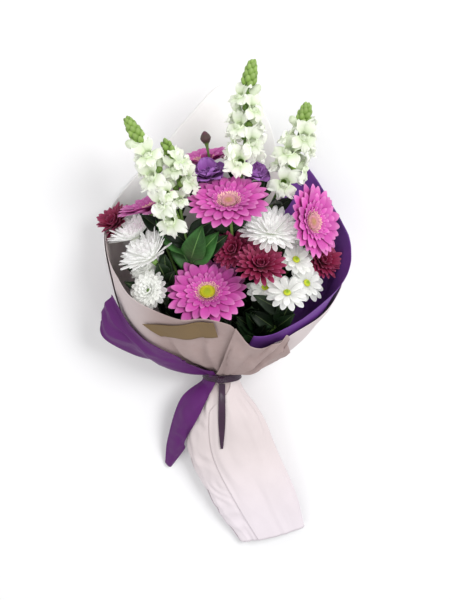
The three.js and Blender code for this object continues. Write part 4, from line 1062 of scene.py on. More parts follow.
def turned(profile, sides=28):
    """A closed turned shape about +Z from [radius, height] corners: points, faces and places."""
    angle = TAU * np.arange(sides) / sides
    inner = [(max(r, 0.02), h) for r, h in profile]
    points = [(r * math.cos(a), r * math.sin(a), h) for r, h in inner for a in angle]
    faces = []
    for ring in range(len(inner) - 1):
        for k in range(sides):
            a, b = ring * sides + k, ring * sides + (k + 1) % sides
            faces.append((a, b, b + sides, a + sides))
    reach = max(r for r, _ in inner)
    places = [(0.5, r / reach) for r, _ in inner for _ in angle]
    return np.array(points), np.array(faces), np.array(places)


BENDS = (0, 0.12, -0.12, 0.26, -0.26, 0.42, 0.6, -0.4, 0.8)
FAR_BEND = 0.3  # radians, from which a long petal stands out
TRIMS = (1, 0.86, 0.7, 0.55)
GOLDEN_ANGLE = math.pi * (3 - math.sqrt(5))


def grow(heap, matrix, own, spec, tint):
    """A petal as drawn, or bent or shortened until it is clear; nothing where it can't be.

    Long straps are shortened before they are bent far.
    """
    tries = [(trim, bend) for trim in TRIMS for bend in BENDS]
    if spec["outline"] == "strap":
        tries.sort(key=lambda pair: abs(pair[1]) > FAR_BEND)
    for trim, bend in tries:
        shape = {**spec, "length": spec["length"] * trim, "lift": spec["lift"] + bend}
        points, faces, places = petal(**shape)
        points = placed(points, matrix)
        if ROOM.is_free(points, faces, own):
            heap.add(points, faces, places, tint)
            return


def round_bump():
    """The points and faces of one small round bud, 1 mm in radius."""
    bpy.ops.mesh.primitive_ico_sphere_add(subdivisions=2, radius=1)
    ball = bpy.context.object
    points, faces = shape_of(ball)
    mesh = ball.data
    bpy.data.objects.remove(ball)
    bpy.data.meshes.remove(mesh)
    return points, np.array(faces)


BUMP = round_bump()


class Bloom:
    """A bloom in the making, with its own random draws; it may touch the pieces in `own`."""

    def __init__(self, name, table, seed, own):
        self.name, self.own = name, own
        self.at, self.facing, self.radius, cup = table
        self.cup = math.radians(cup)
        self.rng = np.random.default_rng(seed)
        self.matrix = seat(self.at, self.facing)
        self.petals, self.core = Heap(), Heap()

    def whorl(self, count, turn=None, height=0.0, uneven=0.1, heap=None, **spec):
        """A ring of petals with natural variety, turned at random where no turn is given."""
        heap = self.petals if heap is None else heap
        turn = self.rng.random() if turn is None else turn
        for k in range(count):
            angle = turn + TAU * (k + 0.34 * (self.rng.random() - 0.5)) / count
            shape = dict(spec)
            shape["length"] *= 1 - uneven * self.rng.random()
            shape["lift"] += 0.12 * (self.rng.random() - 0.5)
            shape["width"] *= 0.92 + 0.16 * self.rng.random()
            shape["phase"] = TAU * self.rng.random()
            grow(heap, seat(self.at, self.facing, angle, height), self.own, shape, self.rng.random())

    def close(self, along, *profile):
        """Fills its middle with a turned shape in the petals' colour at `along`."""
        self.core.add_shape(turned(profile), self.matrix, along)

    def bumps(self, heap, radius, height, count, size, top):
        """Little round buds over its dome, in the golden-angle order of a seed head."""
        points, faces = BUMP
        for k in range(count):
            share = (k + 0.5) / count
            reach, angle = radius * math.sqrt(share), k * GOLDEN_ANGLE
            rise = top + height * (1 - share)
            bump = points * np.array((size, size, size * 1.5)) * (0.75 + 0.5 * self.rng.random())
            bump = bump + np.array((reach * math.cos(angle), reach * math.sin(angle), rise))
            places = np.tile((0.5, share), (len(bump), 1))
            heap.add(placed(bump, self.matrix), faces, places, self.rng.random())

    def finish(self, slot, material, thickness):
        """Its petals and middle as the finished piece that stands for its node."""
        bloom_piece(f"{self.name}_head", [self.name], material, self.petals, self.core, thickness)


def bloom_piece(name, nodes, material, petals, solids, thickness):
    """Petals with their thickness, and what closes their middle, as one finished piece."""
    piece = petals.object(name, material)
    thicken(piece, thickness)
    if solids.count:
        join(piece, solids.object(name + "_core", material))
    settle(piece, nodes)


# Each row of gerbera petals: how many, turn, height, unevenness, reach, width, rise and curl.
GERBERA_ROWS = (
    (22, 0.0, 0.0, 0.12, 1.03, 12.6, -0.03, -0.14), (19, 0.14, 0.5, 0.2, 0.9, 11.6, 0.12, -0.1),
    (20, 0.05, 0.9, 0.25, 0.62, 7, 0.28, -0.1), (34, 0.1, 1.1, 0.4, 0.46, 3.6, 0.4, -0.1))
GERBERA_RADIUS = 44  # for which the widths of the petals are given
GERBERA_INSIDE = 8.5  # where the petals are rooted
# Each row of the fringe round the eye: how many, length, root and rise.
FRINGE_ROWS = ((44, 7.5, 10, 0.34), (42, 7, 9.4, 0.52), (40, 6, 8.8, 0.72), (38, 5, 8.2, 0.95))


class BOUQUET_OT_gerberas(bpy.types.Operator):
    """Builds the gerberas: four rows of petals, a fringe and a domed eye"""

    bl_idname = "bouquet.gerberas"
    bl_label = "Gerberas"

    def execute(self, context):
        look = context.scene.bouquet_blooms
        magenta = look.magenta
        petals_look = petal_finish("gerbera", (
            (0.0, shade(magenta, 0.62)), (0.35, magenta), (0.8, blend(magenta, (0.9, 0.4, 0.72), 0.18)),
            (1.0, blend(magenta, (1, 0.6, 0.85), 0.35))), streak=0.2, veins=24)
        open_eye = eye_finish(
            "gerbera_eye", blend(look.eye, (0.35, 0.55, 0.04), 0.5), look.eye, (0.75, 0.6, 0.05))
        shut_eye = eye_finish("young_eye", (0.6, 0.36, 0.16), blend(magenta, (0.9, 0.6, 0.4), 0.5),
                              blend(magenta, (1, 0.75, 0.7), 0.6))
        fringe_look = petal_finish("fringe", (
            (0.0, shade(magenta, 0.7)), (0.45, blend(magenta, (0.9, 0.4, 0.5), 0.35)),
            (0.8, (0.9, 0.52, 0.5)), (1.0, (0.93, 0.74, 0.5))), streak=0.1)
        for seed, (name, table) in enumerate(GERBERAS.items()):
            parts = {f"{name}_{part}" for part in ("petals", "eye", "stem", "stalk", "head")}
            bloom = Bloom(name, table, seed, parts | {*LEAFY_STEMS, *SPIKES, *LISIANTHUSES})
            eye, fringe, dome = Heap(), Heap(), Heap()
            self.grow_petals(bloom)
            self.grow_middle(bloom, eye, fringe)
            bloom.close(1, (0, -2.9), (8.4, -2.9), (11.6, -1), (11.6, 0.9), (0, 1.1))
            bloom_piece(f"{name}_head", [f"{name}_petals"], petals_look, bloom.petals,
                        bloom.core, look.petal)
            dome.add_shape(turned(
                ((0, 1.3), (8, 1.3), (8.1, 2), (7, 2.7), (5.2, 2.9), (3, 3.3), (0, 3.7))), bloom.matrix)
            bloom.bumps(dome, 7.2, 1.4, 190, 0.46, 2.5)
            bloom_piece(f"{name}_middle", [f"{name}_eye"],
                        shut_eye if name in YOUNG else open_eye, eye, dome, look.petal)
            bloom_piece(f"{name}_fringe", [], fringe_look, fringe, Heap(),
                        0.7 * look.petal)
        return {"FINISHED"}

    def grow_petals(self, bloom):
        wide = dict(ridges=3, columns=9, rows=12)
        narrow = dict(ridges=0, columns=5, rows=8)
        for count, turn, height, uneven, reach, width, rise, curl in GERBERA_ROWS:
            bloom.whorl(count, turn, height, uneven, length=reach * bloom.radius - 8,
                        width=width * (bloom.radius / GERBERA_RADIUS), lift=bloom.cup + rise, curl=curl,
                        outline="strap", root=GERBERA_INSIDE, ridge=0.14, cup=0.16, tip=0.6, sharp=0.62,
                        **(wide if width > 5 else narrow))

    def grow_middle(self, bloom, eye, fringe):
        small = dict(outline="quill", rows=6, columns=3, cup=0.2, sharp=0.8)
        for count, length, root, rise in FRINGE_ROWS:
            bloom.whorl(count, None, 1.2, 0.35, fringe, length=length, width=1.5, root=root,
                        lift=bloom.cup + rise, **small)
        bloom.whorl(36, 0.1, 1.6, 0.3, eye, length=3.6, width=1.4, root=7.4, lift=1.0, **small)
        bloom.whorl(32, 0.0, 1.8, 0.3, eye, length=3, width=1.3, root=6.6, lift=1.2, **small)


class BOUQUET_OT_spider_mums(bpy.types.Operator):
    """Builds the white spider chrysanthemums from narrow channelled petals"""

    bl_idname = "bouquet.spider_mums"
    bl_label = "Spider mums"

    def execute(self, context):
        look = context.scene.bouquet_blooms
        lime = (0.45, 0.6, 0.16)
        # The spider mums' petals are lightened with a faint painted glow of emission.
        white = petal_finish("spider_mum", (
            (0.0, blend(look.white, lime, 0.35)), (0.25, look.white),
            (1.0, blend(look.white, (1, 1, 1), 0.6))), streak=0.06, veins=8, roughness=0.5,
            variety=0.16, glow=1.0, painted_glow=0.1)
        for seed, (name, table) in enumerate(SPIDER_MUMS.items(), 20):
            bloom = Bloom(name, table, seed, {name, f"{name}_stem", f"{name}_stalk"})
            for count, reach, rise, width, curl, root in (
                    (24, 1.08, -0.1, 6, 0.1, 4), (22, 1.0, 0.08, 5.4, 0.16, 4),
                    (20, 0.9, 0.26, 5, 0.22, 3), (16, 0.76, 0.46, 4.6, 0.3, 2),
                    (12, 0.6, 0.7, 4, 0.36, 1.4), (8, 0.42, 0.95, 3.4, 0.45, 0.6)):
                bloom.whorl(count, None, 0, 0.2, length=1.08 * reach * bloom.radius - root, width=width,
                            root=root, lift=bloom.cup + rise, curl=curl, outline="quill", cup=0.3,
                            columns=5, rows=11, tip=0.86)
            bloom.close(0.2, (0, -4), (4.6, -3.6), (5.6, -0.5), (3, 3), (0, 4))
            bloom.finish("white_petal", white, look.petal)
        return {"FINISHED"}


class BOUQUET_OT_daisies(bpy.types.Operator):
    """Builds the daisies: single ones with eyes on the right, double ones on the left"""

    bl_idname = "bouquet.daisies"
    bl_label = "Daisies"

    def execute(self, context):
        look = context.scene.bouquet_blooms
        # The daisies' petals are lightened with a faint painted glow of emission.
        white = petal_finish("daisy", (
            (0.0, blend(look.white, (0.5, 0.62, 0.2), 0.4)), (0.2, look.white), (1.0, look.white)),
            streak=0.06, veins=14, variety=0.08, glow=0.8, painted_glow=0.07)
        eye_look = eye_finish("daisy_eye", (0.28, 0.46, 0.03), (0.5, 0.62, 0.02), (0.6, 0.6, 0.03))
        eyes = Heap()
        for seed, (name, table) in enumerate(DAISIES.items(), 40):
            spray = name[:-2]
            bloom = Bloom(name, table, seed, {name, f"{spray}_stems", f"{spray}_stalk"})
            if spray == "daisy_left":
                self.grow_double(bloom)
            else:
                self.grow_single(bloom)
            bloom.close(0.1, (2.7, -1.1), (4.6, -1.1), (4.8, 1.1), (2.7, 1.1), (2.7, -1.1))
            bloom.finish("white_petal", white, look.petal)
            if spray == "daisy_right":
                eyes.add_shape(turned(
                    ((0, 1.6), (4.1, 1.6), (4.3, 2.4), (3.5, 3.4), (1.9, 4), (0, 4.1))), bloom.matrix)
                bloom.bumps(eyes, 4, 1.8, 60, 0.45, 2.3)
        settle(eyes.object("daisy_eyes", eye_look), [])
        return {"FINISHED"}

    def grow_single(self, bloom):
        for count, turn, height, uneven, reach, width, rise in (
                (13, 0, 0, 0.1, 1.12, 8.2, 0), (9, 0.24, 0.7, 0.2, 1, 7.6, 0.2)):
            bloom.whorl(count, turn, height, uneven, length=reach * bloom.radius - 3, width=width, root=3,
                        lift=bloom.cup + rise, curl=-0.15, outline="broad", ridges=2, ridge=0.14,
                        columns=7, rows=10, cup=0.12)

    def grow_double(self, bloom):
        for count, reach, rise, width in ((18, 1, 0, 7.6), (16, 0.9, 0.2, 7.2), (14, 0.76, 0.42, 6.8),
                                          (11, 0.6, 0.66, 6.2), (8, 0.44, 0.9, 5.4), (5, 0.3, 1.15, 4.4)):
            bloom.whorl(count, None, rise * 2, 0.14, width=width, root=2.6,
                        length=reach * bloom.radius - 2.6, lift=bloom.cup + rise, curl=-0.1 + rise * 0.4,
                        outline="broad", ridges=2, ridge=0.14, columns=7, rows=10, cup=0.2, notch=0.05)


class BOUQUET_OT_mums(bpy.types.Operator):
    """Builds the burgundy chrysanthemums from five rows of spoon-shaped petals, and the round bud"""

    bl_idname = "bouquet.mums"
    bl_label = "Burgundy mums"

    def execute(self, context):
        look = context.scene.bouquet_blooms
        dark = look.burgundy
        finish = petal_finish("burgundy", (
            (0.0, shade(dark, 0.45)), (0.5, dark), (0.9, blend(dark, (0.62, 0.12, 0.3), 0.2)),
            (1.0, blend(dark, (0.7, 0.2, 0.4), 0.4))), streak=0.2, veins=14, roughness=0.5)
        for seed, (name, table) in enumerate(MUMS.items(), 60):
            plant = "mum_centre" if name == "mum_near" else name
            bloom = Bloom(name, table, seed, {name, f"{plant}_stem", f"{plant}_stems", f"{plant}_stalk"})
            for count, reach, rise, width, cupping in (
                    (19, 1.05, -0.05, 6.4, 0.3), (18, 0.94, 0.14, 6.2, 0.35), (15, 0.78, 0.36, 5.8, 0.4),
                    (11, 0.58, 0.66, 5.2, 0.5), (7, 0.4, 0.98, 4.4, 0.6)):
                bloom.whorl(count, None, rise, 0.14, width=width, root=3.4,
                            length=reach * bloom.radius - 3.4, lift=bloom.cup + rise, curl=rise * 0.5,
                            cup=cupping, outline="spoon", columns=7, rows=10, tip=0.7, ridges=2, ridge=0.1)
            bloom.close(0.3, (0, -2.9), (4.8, -2.9), (6, 0), (3, 3), (0, 3.6))
            bloom.finish("burgundy_petal", finish, look.petal)
        self.bud(look.petal)
        return {"FINISHED"}

    def bud(self, thickness):
        """The small round bud that stands above the blooms, closed by folded petals."""
        finish = petal_finish("round_bud", (
            (0.0, (0.08, 0.1, 0.03)), (0.5, (0.09, 0.055, 0.05)), (1.0, (0.13, 0.04, 0.07))), streak=0.2)
        matrix, heap = seat(*BUD), Heap()
        petals = 9
        for k in range(petals):
            points, faces, places = petal(length=15, width=7.4, outline="spoon", root=3.4, height=-4.4,
                                          lift=0.95, curl=1.6, cup=0.5, tip=0.6)
            turn = np.array(Matrix.Rotation(k * TAU / petals, 3, "Z"))
            heap.add(placed(points @ turn.T, matrix), faces, places, k % 3 / 3)
        ball = turned(((0, -3.8), (5.2, -1.8), (6.3, 1.2), (4.8, 5), (1.9, 6.8), (0, 7)), 18)
        core = Heap().add_shape(ball, matrix, 0.6)
        bloom_piece("round_bud", [], finish, heap, core, thickness)


class BOUQUET_OT_lisianthuses(bpy.types.Operator):
    """Builds the two violet lisianthus blooms from wide ruffled petals"""

    bl_idname = "bouquet.lisianthuses"
    bl_label = "Lisianthuses"

    def execute(self, context):
        look = context.scene.bouquet_blooms
        violet = look.violet
        finish = petal_finish("lisianthus", (
            (0.0, blend(violet, (0.5, 0.55, 0.4), 0.5)), (0.3, violet),
            (1.0, blend(violet, (0.5, 0.3, 0.75), 0.3))), veins=18)
        for seed, (name, table) in enumerate(LISIANTHUSES.items(), 80):
            bloom = Bloom(name, table, seed, {name, "lisianthus_stems", "lisianthus_stalk"})
            for count, reach, rise, width in ((6, 1.04, 0.1, 22), (6, 0.94, 0.36, 20), (5, 0.8, 0.62, 17),
                                              (4, 0.6, 0.9, 13)):
                bloom.whorl(count, None, rise, 0.1, width=width, root=2, length=reach * bloom.radius,
                            lift=bloom.cup + rise, curl=-0.35, outline="fan", ruffle=1.3, waves=1.6,
                            columns=13, rows=13, cup=0.3, tip=0.7)
            bloom.close(0.3, (0, -4.9), (3.4, -4.9), (5, 0), (2.6, 4), (0, 4.6))
            bloom.finish("violet_petal", finish, look.petal)
        return {"FINISHED"}


# ---------------------------------------------------------------- stems, spikes and leaves


def centre_at(node, y):
    """The middle of a stem's cut at `y`, in the tables' millimetres."""
    points, faces = shape_of(NODES[node])
    points = in_tables(points)
    ends = np.array([(a, b) for face in faces for a, b in zip(face, face[1:] + face[:1])])
    a, b = points[ends[:, 0]], points[ends[:, 1]]
    crossing = (a[:, 1] - y) * (b[:, 1] - y) < 0
    a, b = a[crossing], b[crossing]
    if not len(a):
        raise RuntimeError(f"{node} has no stem at {y}")
    share = (y - a[:, 1]) / (b[:, 1] - a[:, 1])
    return (a + (b - a) * share[:, None]).mean(0)


def tube(points, radii, sides=10):
    """A round tube through points, tapering by its radii: points, faces and places."""
    points, radii = np.asarray(points, float), np.broadcast_to(radii, len(points))
    tangent = np.gradient(points, axis=0)
    tangent /= np.linalg.norm(tangent, axis=1, keepdims=True)
    side = np.cross(tangent, (0.13, 0.11, 1))
    side /= np.linalg.norm(side, axis=1, keepdims=True)
    up = np.cross(side, tangent)
    angle = TAU * np.arange(sides) / sides
    ring = side[:, None] * np.cos(angle)[None, :, None] + up[:, None] * np.sin(angle)[None, :, None]
    body = points[:, None] + ring * radii[:, None, None]
    count = len(points)
    faces = []
    for r in range(count - 1):
        for k in range(sides):
            n = (k + 1) % sides
            faces.append((r * sides + k, r * sides + n, (r + 1) * sides + n, (r + 1) * sides + k))
    along = np.repeat(np.linspace(0, 1, count), sides)
    places = np.stack((np.tile(np.arange(sides) / sides, count), along), 1)
    return body.reshape(-1, 3), np.array(faces)[:, ::-1], places


def stalk(name, node, material, cut=None):
    """A rounder copy of a node's stem, up to `cut` where its own spike or leaves begin."""
    mesh = NODES[node].data.copy()
    piece = bpy.data.objects.new(name, mesh)
    bpy.context.scene.collection.objects.link(piece)
    body = bmesh.new()
    body.from_mesh(mesh)
    bmesh.ops.remove_doubles(body, verts=body.verts, dist=1e-5)
    if cut is not None:
        whole = body.verts[:] + body.edges[:] + body.faces[:]
        bmesh.ops.bisect_plane(body, geom=whole, plane_co=spot(0, cut, 0), plane_no=(0, 1, 0),
                               clear_outer=True)
        rim = [edge for edge in body.edges if edge.is_boundary]
        bmesh.ops.edgeloop_fill(body, edges=rim)
    bmesh.ops.join_triangles(body, faces=body.faces, angle_face_threshold=0.6,
                             angle_shape_threshold=0.9)
    body.to_mesh(mesh)
    body.free()
    only(piece)
    rounded = piece.modifiers.new("round", "SUBSURF")
    rounded.levels = 1
    bpy.ops.object.modifier_apply(modifier=rounded.name)
    bpy.ops.object.shade_smooth()
    mesh = piece.data
    mesh.materials.clear()
    mesh.materials.append(material)
    return piece


def point_on(route, share):
    """A point of a spike's axis and the way it runs there."""
    knots = np.linspace(0, 1, len(route))
    near = smooth_values(knots, route, np.array((share - 0.01, share, share + 0.01)))
    way = near[2] - near[0]
    return near[1], way / np.linalg.norm(way)


def on_spike(route, share, angle, lean, out):
    """The matrix of a floret or bud on a spike: +Z out along its axis, +Y towards the tip."""
    point, way = point_on(route, share)
    side = np.cross((1, 0, 0), way)
    side /= np.linalg.norm(side)
    radial = side * math.cos(angle) + np.cross(way, side) * math.sin(angle)
    axis = radial * math.cos(lean) + way * math.sin(lean)
    up = way - axis * (way @ axis)
    up /= np.linalg.norm(up)
    return matrix_of(np.stack((np.cross(up, axis), up, axis), 1), point + radial * out)


def floret_shape():
    """One open snapdragon floret, mouth along +Z: a tube, a palate and five lobes."""
    heap_points, heap_faces, heap_places, count = [], [], [], 0

    def add(shape, turn=None, move=(0, 0, 0)):
        nonlocal count
        points, faces, places = shape
        if turn is not None:
            points = points @ np.array(Matrix.Rotation(turn, 3, "Z")).T
        heap_points.append(points + np.array(move))
        heap_faces.append(np.array(faces) + count)
        heap_places.append(places)
        count += len(points)

    tube_points, tube_faces, tube_places = turned(THROAT_PROFILE, 14)
    add((tube_points, tube_faces, tube_places * (1, 0.35)))
    lobe = dict(outline="lobe", columns=11, rows=10, cup=0.1, ruffle=1.7, waves=1.5, tip=0.5)
    upper = dict(length=14, width=12, root=3.2, height=11, lift=1.05, curl=-1.3)
    lower = dict(length=12, root=3.4, height=10.5, lift=0.5, curl=-1.5)
    for k, turn in enumerate((-0.55, 0.55)):
        add(petal(phase=k, **upper, **lobe), turn)
    for k, (turn, size) in enumerate(((-0.95, 11), (0, 9), (0.95, 11))):
        add(petal(width=size, phase=2 * k, **lower, **lobe), math.pi + turn)
    for side in (-1, 1):
        add((BUMP[0] * (2.1, 1.9, 2.4), BUMP[1], np.tile((0.5, 0.3), (len(BUMP[0]), 1))), None,
            (1.4 * side, -2.4, 12.4))
    return np.concatenate(heap_points), heap_faces, np.concatenate(heap_places)


class BOUQUET_OT_stems(bpy.types.Operator):
    """Rounds the stems and gives the snapdragon spikes their axes and buds"""

    bl_idname = "bouquet.stems"
    bl_label = "Stems"

    def execute(self, context):
        look = context.scene.bouquet_greens
        green = stem_finish("stem", look.stem)
        # Painted shade: each bud darkens towards its foot, where the buds crowd the axis, and lightens
        # towards its tip.
        tip_green = petal_finish("bud", (
            (0.0, shade(look.bud, 0.25)), (0.55, look.bud),
            (1.0, blend(look.bud, (0.7, 0.85, 0.4), 0.2))), streak=0.1)
        plain = [name for name in NODES
                 if name.endswith(("_stem", "_stems")) and name not in STEMS_OF_SPIKES]
        for name in plain:
            piece = stalk(name.rsplit("_", 1)[0] + "_stalk", name, green)
            settle(piece, [name])
        for seed, (node, spikes) in enumerate(STEMS_OF_SPIKES.items(), 100):
            self.spike(node, spikes, np.random.default_rng(seed), green, tip_green)
        return {"FINISHED"}

    def spike(self, node, spikes, rng, green, tip_green):
        plant = node.rsplit("_", 1)[0]
        base = SPIKES[spikes[0]][3][0]
        piece = stalk(plant + "_stalk", node, green, cut=base[1] + 1)
        bud_points, bud_faces, bud_places = turned(BUD_PROFILE, 12)
        # Each bud's height from its foot, along which its painted shade lightens.
        bud_places = np.stack((bud_places[:, 0], bud_points[:, 2] / BUD_LENGTH), 1)
        shares = np.linspace(0, 1, 40)
        axes, tips = Heap(), Heap()
        for spike in spikes:
            _, _, buds, route = SPIKES[spike]
            line = smooth_values(np.linspace(0, 1, len(route)), route, shares)
            points, faces, places = tube(line, 1.9 - 1.1 * shares)
            axes.add(spots(points), faces, places)
            for k in range(buds):
                high = (k + 0.5) / buds
                share = FLORETS_END + (1 - FLORETS_END) * high
                size = 0.96 + 0.45 * high - 0.76 * high ** 2
                lean, reach = 0.85 + 0.4 * high, 1.4 - 0.8 * high
                matrix = on_spike(route, share, k * SPIRAL + rng.random() * 0.3, lean, reach)
                tips.add(placed(bud_points * size, matrix), bud_faces, bud_places, rng.random())
        join(piece, axes.object(piece.name + "_axis", green))
        settle(piece, [node])
        settle(tips.object(plant + "_buds", tip_green), [])


# A floret that meets another is made smaller or turned aside: its trims and turns, in this order.
FLORET_TRIES = [(trim, turn) for trim in (1, 0.84, 0.68, 0.52) for turn in (0, 0.4, -0.4, 0.8, -0.8)]


class BOUQUET_OT_snapdragons(bpy.types.Operator):
    """Sets the open florets round the snapdragon spikes, smaller and greener upward"""

    bl_idname = "bouquet.snapdragons"
    bl_label = "Snapdragons"

    def execute(self, context):
        look = context.scene.bouquet_blooms
        # The florets are lightened with a faint painted glow of emission.
        finish = petal_finish("floret", (
            (0.0, blend(look.cream, (0.4, 0.6, 0.16), 0.6)), (0.5, look.cream),
            (1.0, blend(look.cream, look.white, 0.7))), streak=0.08, veins=12, roughness=0.5,
            variety=0.22, glow=0.4, painted_glow=0.05)
        sepal_green = stem_finish("sepal", shade(context.scene.bouquet_greens.bud, 0.9))
        for seed, name in enumerate(SPIKES, 120):
            florets, cups = self.grow(name, np.random.default_rng(seed))
            piece = florets.object(name.replace("_florets", "_open"), finish)
            thicken(piece, look.petal)
            settle(piece, [name])
            settle(cups.object(name.replace("_florets", "_sepals"), sepal_green), [])
        return {"FINISHED"}

    def grow(self, name, rng):
        """The florets of one spike and their sepals; the highest florets are still shut."""
        start, count, _, route = SPIKES[name]
        own = {name.replace("_florets", part) for part in ("_florets", "_stem", "_stalk", "_buds")}
        own |= {"snapdragon_left_stalk", "snapdragon_left_buds"}
        points, parts, places = floret_shape()
        faces = [face for part in parts for face in part.tolist()]
        shut_points, shut_faces, shut_places = turned(SHUT_PROFILE, 14)
        cup_points, cup_faces, cup_places = turned(SEPAL_PROFILE, 12)
        florets, cups = Heap(), Heap()
        for k in range(count):
            share = (k + 0.5 + 0.5 * (rng.random() - 0.5)) / count
            along = start + (FLORETS_END - start) * share
            angle = k * SPIRAL + 0.9 * (rng.random() - 0.5)
            lean = 0.3 + 0.4 * share + 0.4 * rng.random()
            whole = (1.42 - 0.34 * share) * (0.88 + 0.24 * rng.random())
            is_open = share < 0.88
            for trim, turn in FLORET_TRIES:
                matrix = on_spike(route, along, angle + turn, lean, 1.6)
                here = placed((points if is_open else shut_points) * whole * trim, matrix)
                if self.is_free(here, parts if is_open else [shut_faces], own):
                    break
            else:
                continue
            tint = rng.random()
            if is_open:
                florets.add(here, faces, places * (1, 1 - 0.6 * share ** 2), tint)
            else:
                florets.add(here, shut_faces, shut_places * (1, 0.3), tint)
            cup = placed(cup_points * whole * trim, matrix)
            cups.add(cup, cup_faces, cup_places * (1, 0.5), tint)
        return florets, cups

    def is_free(self, points, parts, own):
        """Whether a floret is clear, by its tube and lobes."""
        quads = [part for part in parts if part.shape[1] == 4]
        return ROOM.is_free(points, np.concatenate(quads), own)


def leaf_frame(root, tip):
    """The matrix of a leaf that runs from its root along +Y, with its upper face to the light."""
    along = np.subtract(tip, root)
    length = np.linalg.norm(along)
    along = along / length
    across = np.cross(along, (0, 0.22, 0.97))
    across /= np.linalg.norm(across)
    return matrix_of(np.stack((across, along, np.cross(across, along)), 1), root), length


def grow_leaf(heap, rng, root, tip, width, own, arch=0.35):
    """One leaf from root to tip, bent or shortened until it is clear."""
    spec = dict(width=width, outline="leaf", lift=arch, curl=-2 * arch, tip=1, fold=0.28,
                ruffle=0.05 * width, waves=1.4, phase=TAU * rng.random(), columns=11, rows=18)
    root, tip, tint = np.array(root, float), np.array(tip, float), rng.random()
    for share in (1, 0.88, 0.76, 0.62):
        for turn in (0, 0.16, -0.16, 0.32, -0.32, 0.5, -0.5):
            way = np.array(Matrix.Rotation(turn, 3, "Z")) @ (tip - root) * share
            matrix, length = leaf_frame(root, root + way)
            for bend in (0, 0.15, -0.15, 0.3, -0.3, 0.5):
                points, faces, places = petal(**{**spec, "length": length * 1.03, "lift": arch + bend})
                points = placed(points, matrix)
                if ROOM.is_free(points, faces, own, 0.15 * MM):
                    heap.add(points, faces, places, tint)
                    return


# Between which places along the bouquet the filler leaves are rooted on each stem, and how many.
FILLERS = {
    "daisy_right_stalk": (40, 118, 44), "mum_centre_stalk": (50, 130, 20),
    "gerbera_front_stalk": (40, 100, 16), "gerbera_top_stalk": (80, 200, 26),
    "gerbera_right_stalk": (70, 170, 22), "mum_right_stalk": (60, 130, 16),
    "gerbera_left_stalk": (60, 190, 20), "spider_mum_lower_stalk": (50, 140, 14),
    "spider_mum_upper_stalk": (50, 150, 16), "spider_mum_right_stalk": (80, 170, 16),
    "daisy_left_stalk": (40, 110, 16), "snapdragon_left_stalk": (90, 190, 16),
    "mum_left_stalk": (70, 170, 14), "snapdragon_centre_stalk": (100, 250, 20),
    "snapdragon_right_stalk": (90, 230, 20), "lisianthus_stalk": (100, 220, 16),
    "gerbera_back_stalk": (90, 240, 14), "mum_back_stalk": (100, 240, 12),
}


LEAFY_LENGTH = 42  # of a leafy stem's upper part, which turns to its top
LEAFY_RUN_IN = 14  # how far below it the stem's own line is followed


class BOUQUET_OT_leaves(bpy.types.Operator):
    """Builds the two leafy stems with their large leaves"""

    bl_idname = "bouquet.leaves"
    bl_label = "Leaves"

    def execute(self, context):
        look = context.scene.bouquet_greens
        green = leaf_finish("leaf", look.leaf)
        stem_green = stem_finish("leaf_stem", shade(look.stem, 0.6))
        for seed, (name, (top, leaves)) in enumerate(LEAFY_STEMS.items(), 140):
            rng = np.random.default_rng(seed)
            low = top[1] - LEAFY_LENGTH
            line = np.array((centre_at(name, low - LEAFY_RUN_IN), centre_at(name, low), top))
            knots = (-LEAFY_RUN_IN, 0, LEAFY_LENGTH)
            own = {name, f"{name}_stalk", *SPIKES}
            heap = Heap()
            for k, (tip, width) in enumerate(leaves):
                root = smooth_values(knots, line, (40 - 4.5 * k,))[0]
                grow_leaf(heap, rng, root, tip, width, own)
            piece = stalk(f"{name}_stalk", name, stem_green, cut=low)
            along = np.linspace(-6, LEAFY_LENGTH, 14)
            points, faces, places = tube(smooth_values(knots, line, along), 2.1 - 0.02 * (along + 6))
            join(piece, Heap().add(spots(points), faces, places).object("upper", stem_green))
            settle(piece, [name])
            blades = heap.object(f"{name}_leaves", green)
            thicken(blades, look.thickness)
            settle(blades, [])
        return {"FINISHED"}


class BOUQUET_OT_fillers(bpy.types.Operator):
    """Grows leaves all through the stems, each rooted on one of them, made nearly black with painted shade
    """

    bl_idname = "bouquet.fillers"
    bl_label = "Filler leaves"

    def execute(self, context):
        look = context.scene.bouquet_greens
        # Painted shade: the leaf colour at a tenth, nearly black, for the shade deep among the stems.
        green = leaf_finish("shaded_leaf", shade(look.leaf, 0.11))
        rng = np.random.default_rng(160)
        heap = Heap()
        for stem, (low, high, count) in FILLERS.items():
            corners = in_tables(shape_of(bpy.data.objects[stem])[0])
            corners = corners[(corners[:, 1] > low) & (corners[:, 1] < high)]
            for root in corners[rng.integers(0, len(corners), count)]:
                angle = TAU * rng.random()
                out = np.array(
                    (math.cos(angle), 0.55 + 0.4 * rng.random(), 0.6 * math.sin(angle) + 0.35))
                tip = root + (28 + 24 * rng.random()) * out / np.linalg.norm(out)
                grow_leaf(heap, rng, root, tip, 14 + 7 * rng.random(), {stem}, 0.25)
        piece = heap.object("filler_leaves", green)
        thicken(piece, look.thickness)
        settle(piece, [])
        return {"FINISHED"}


# ---------------------------------------------------------------- floor, light and camera


CAMERA_AT = (4.338, 391.41, 1336.68)  # in the tables' millimetres
CAMERA_COSINE, CAMERA_SINE = 0.9744, 0.2249  # of its tilt, from straight down towards the foot


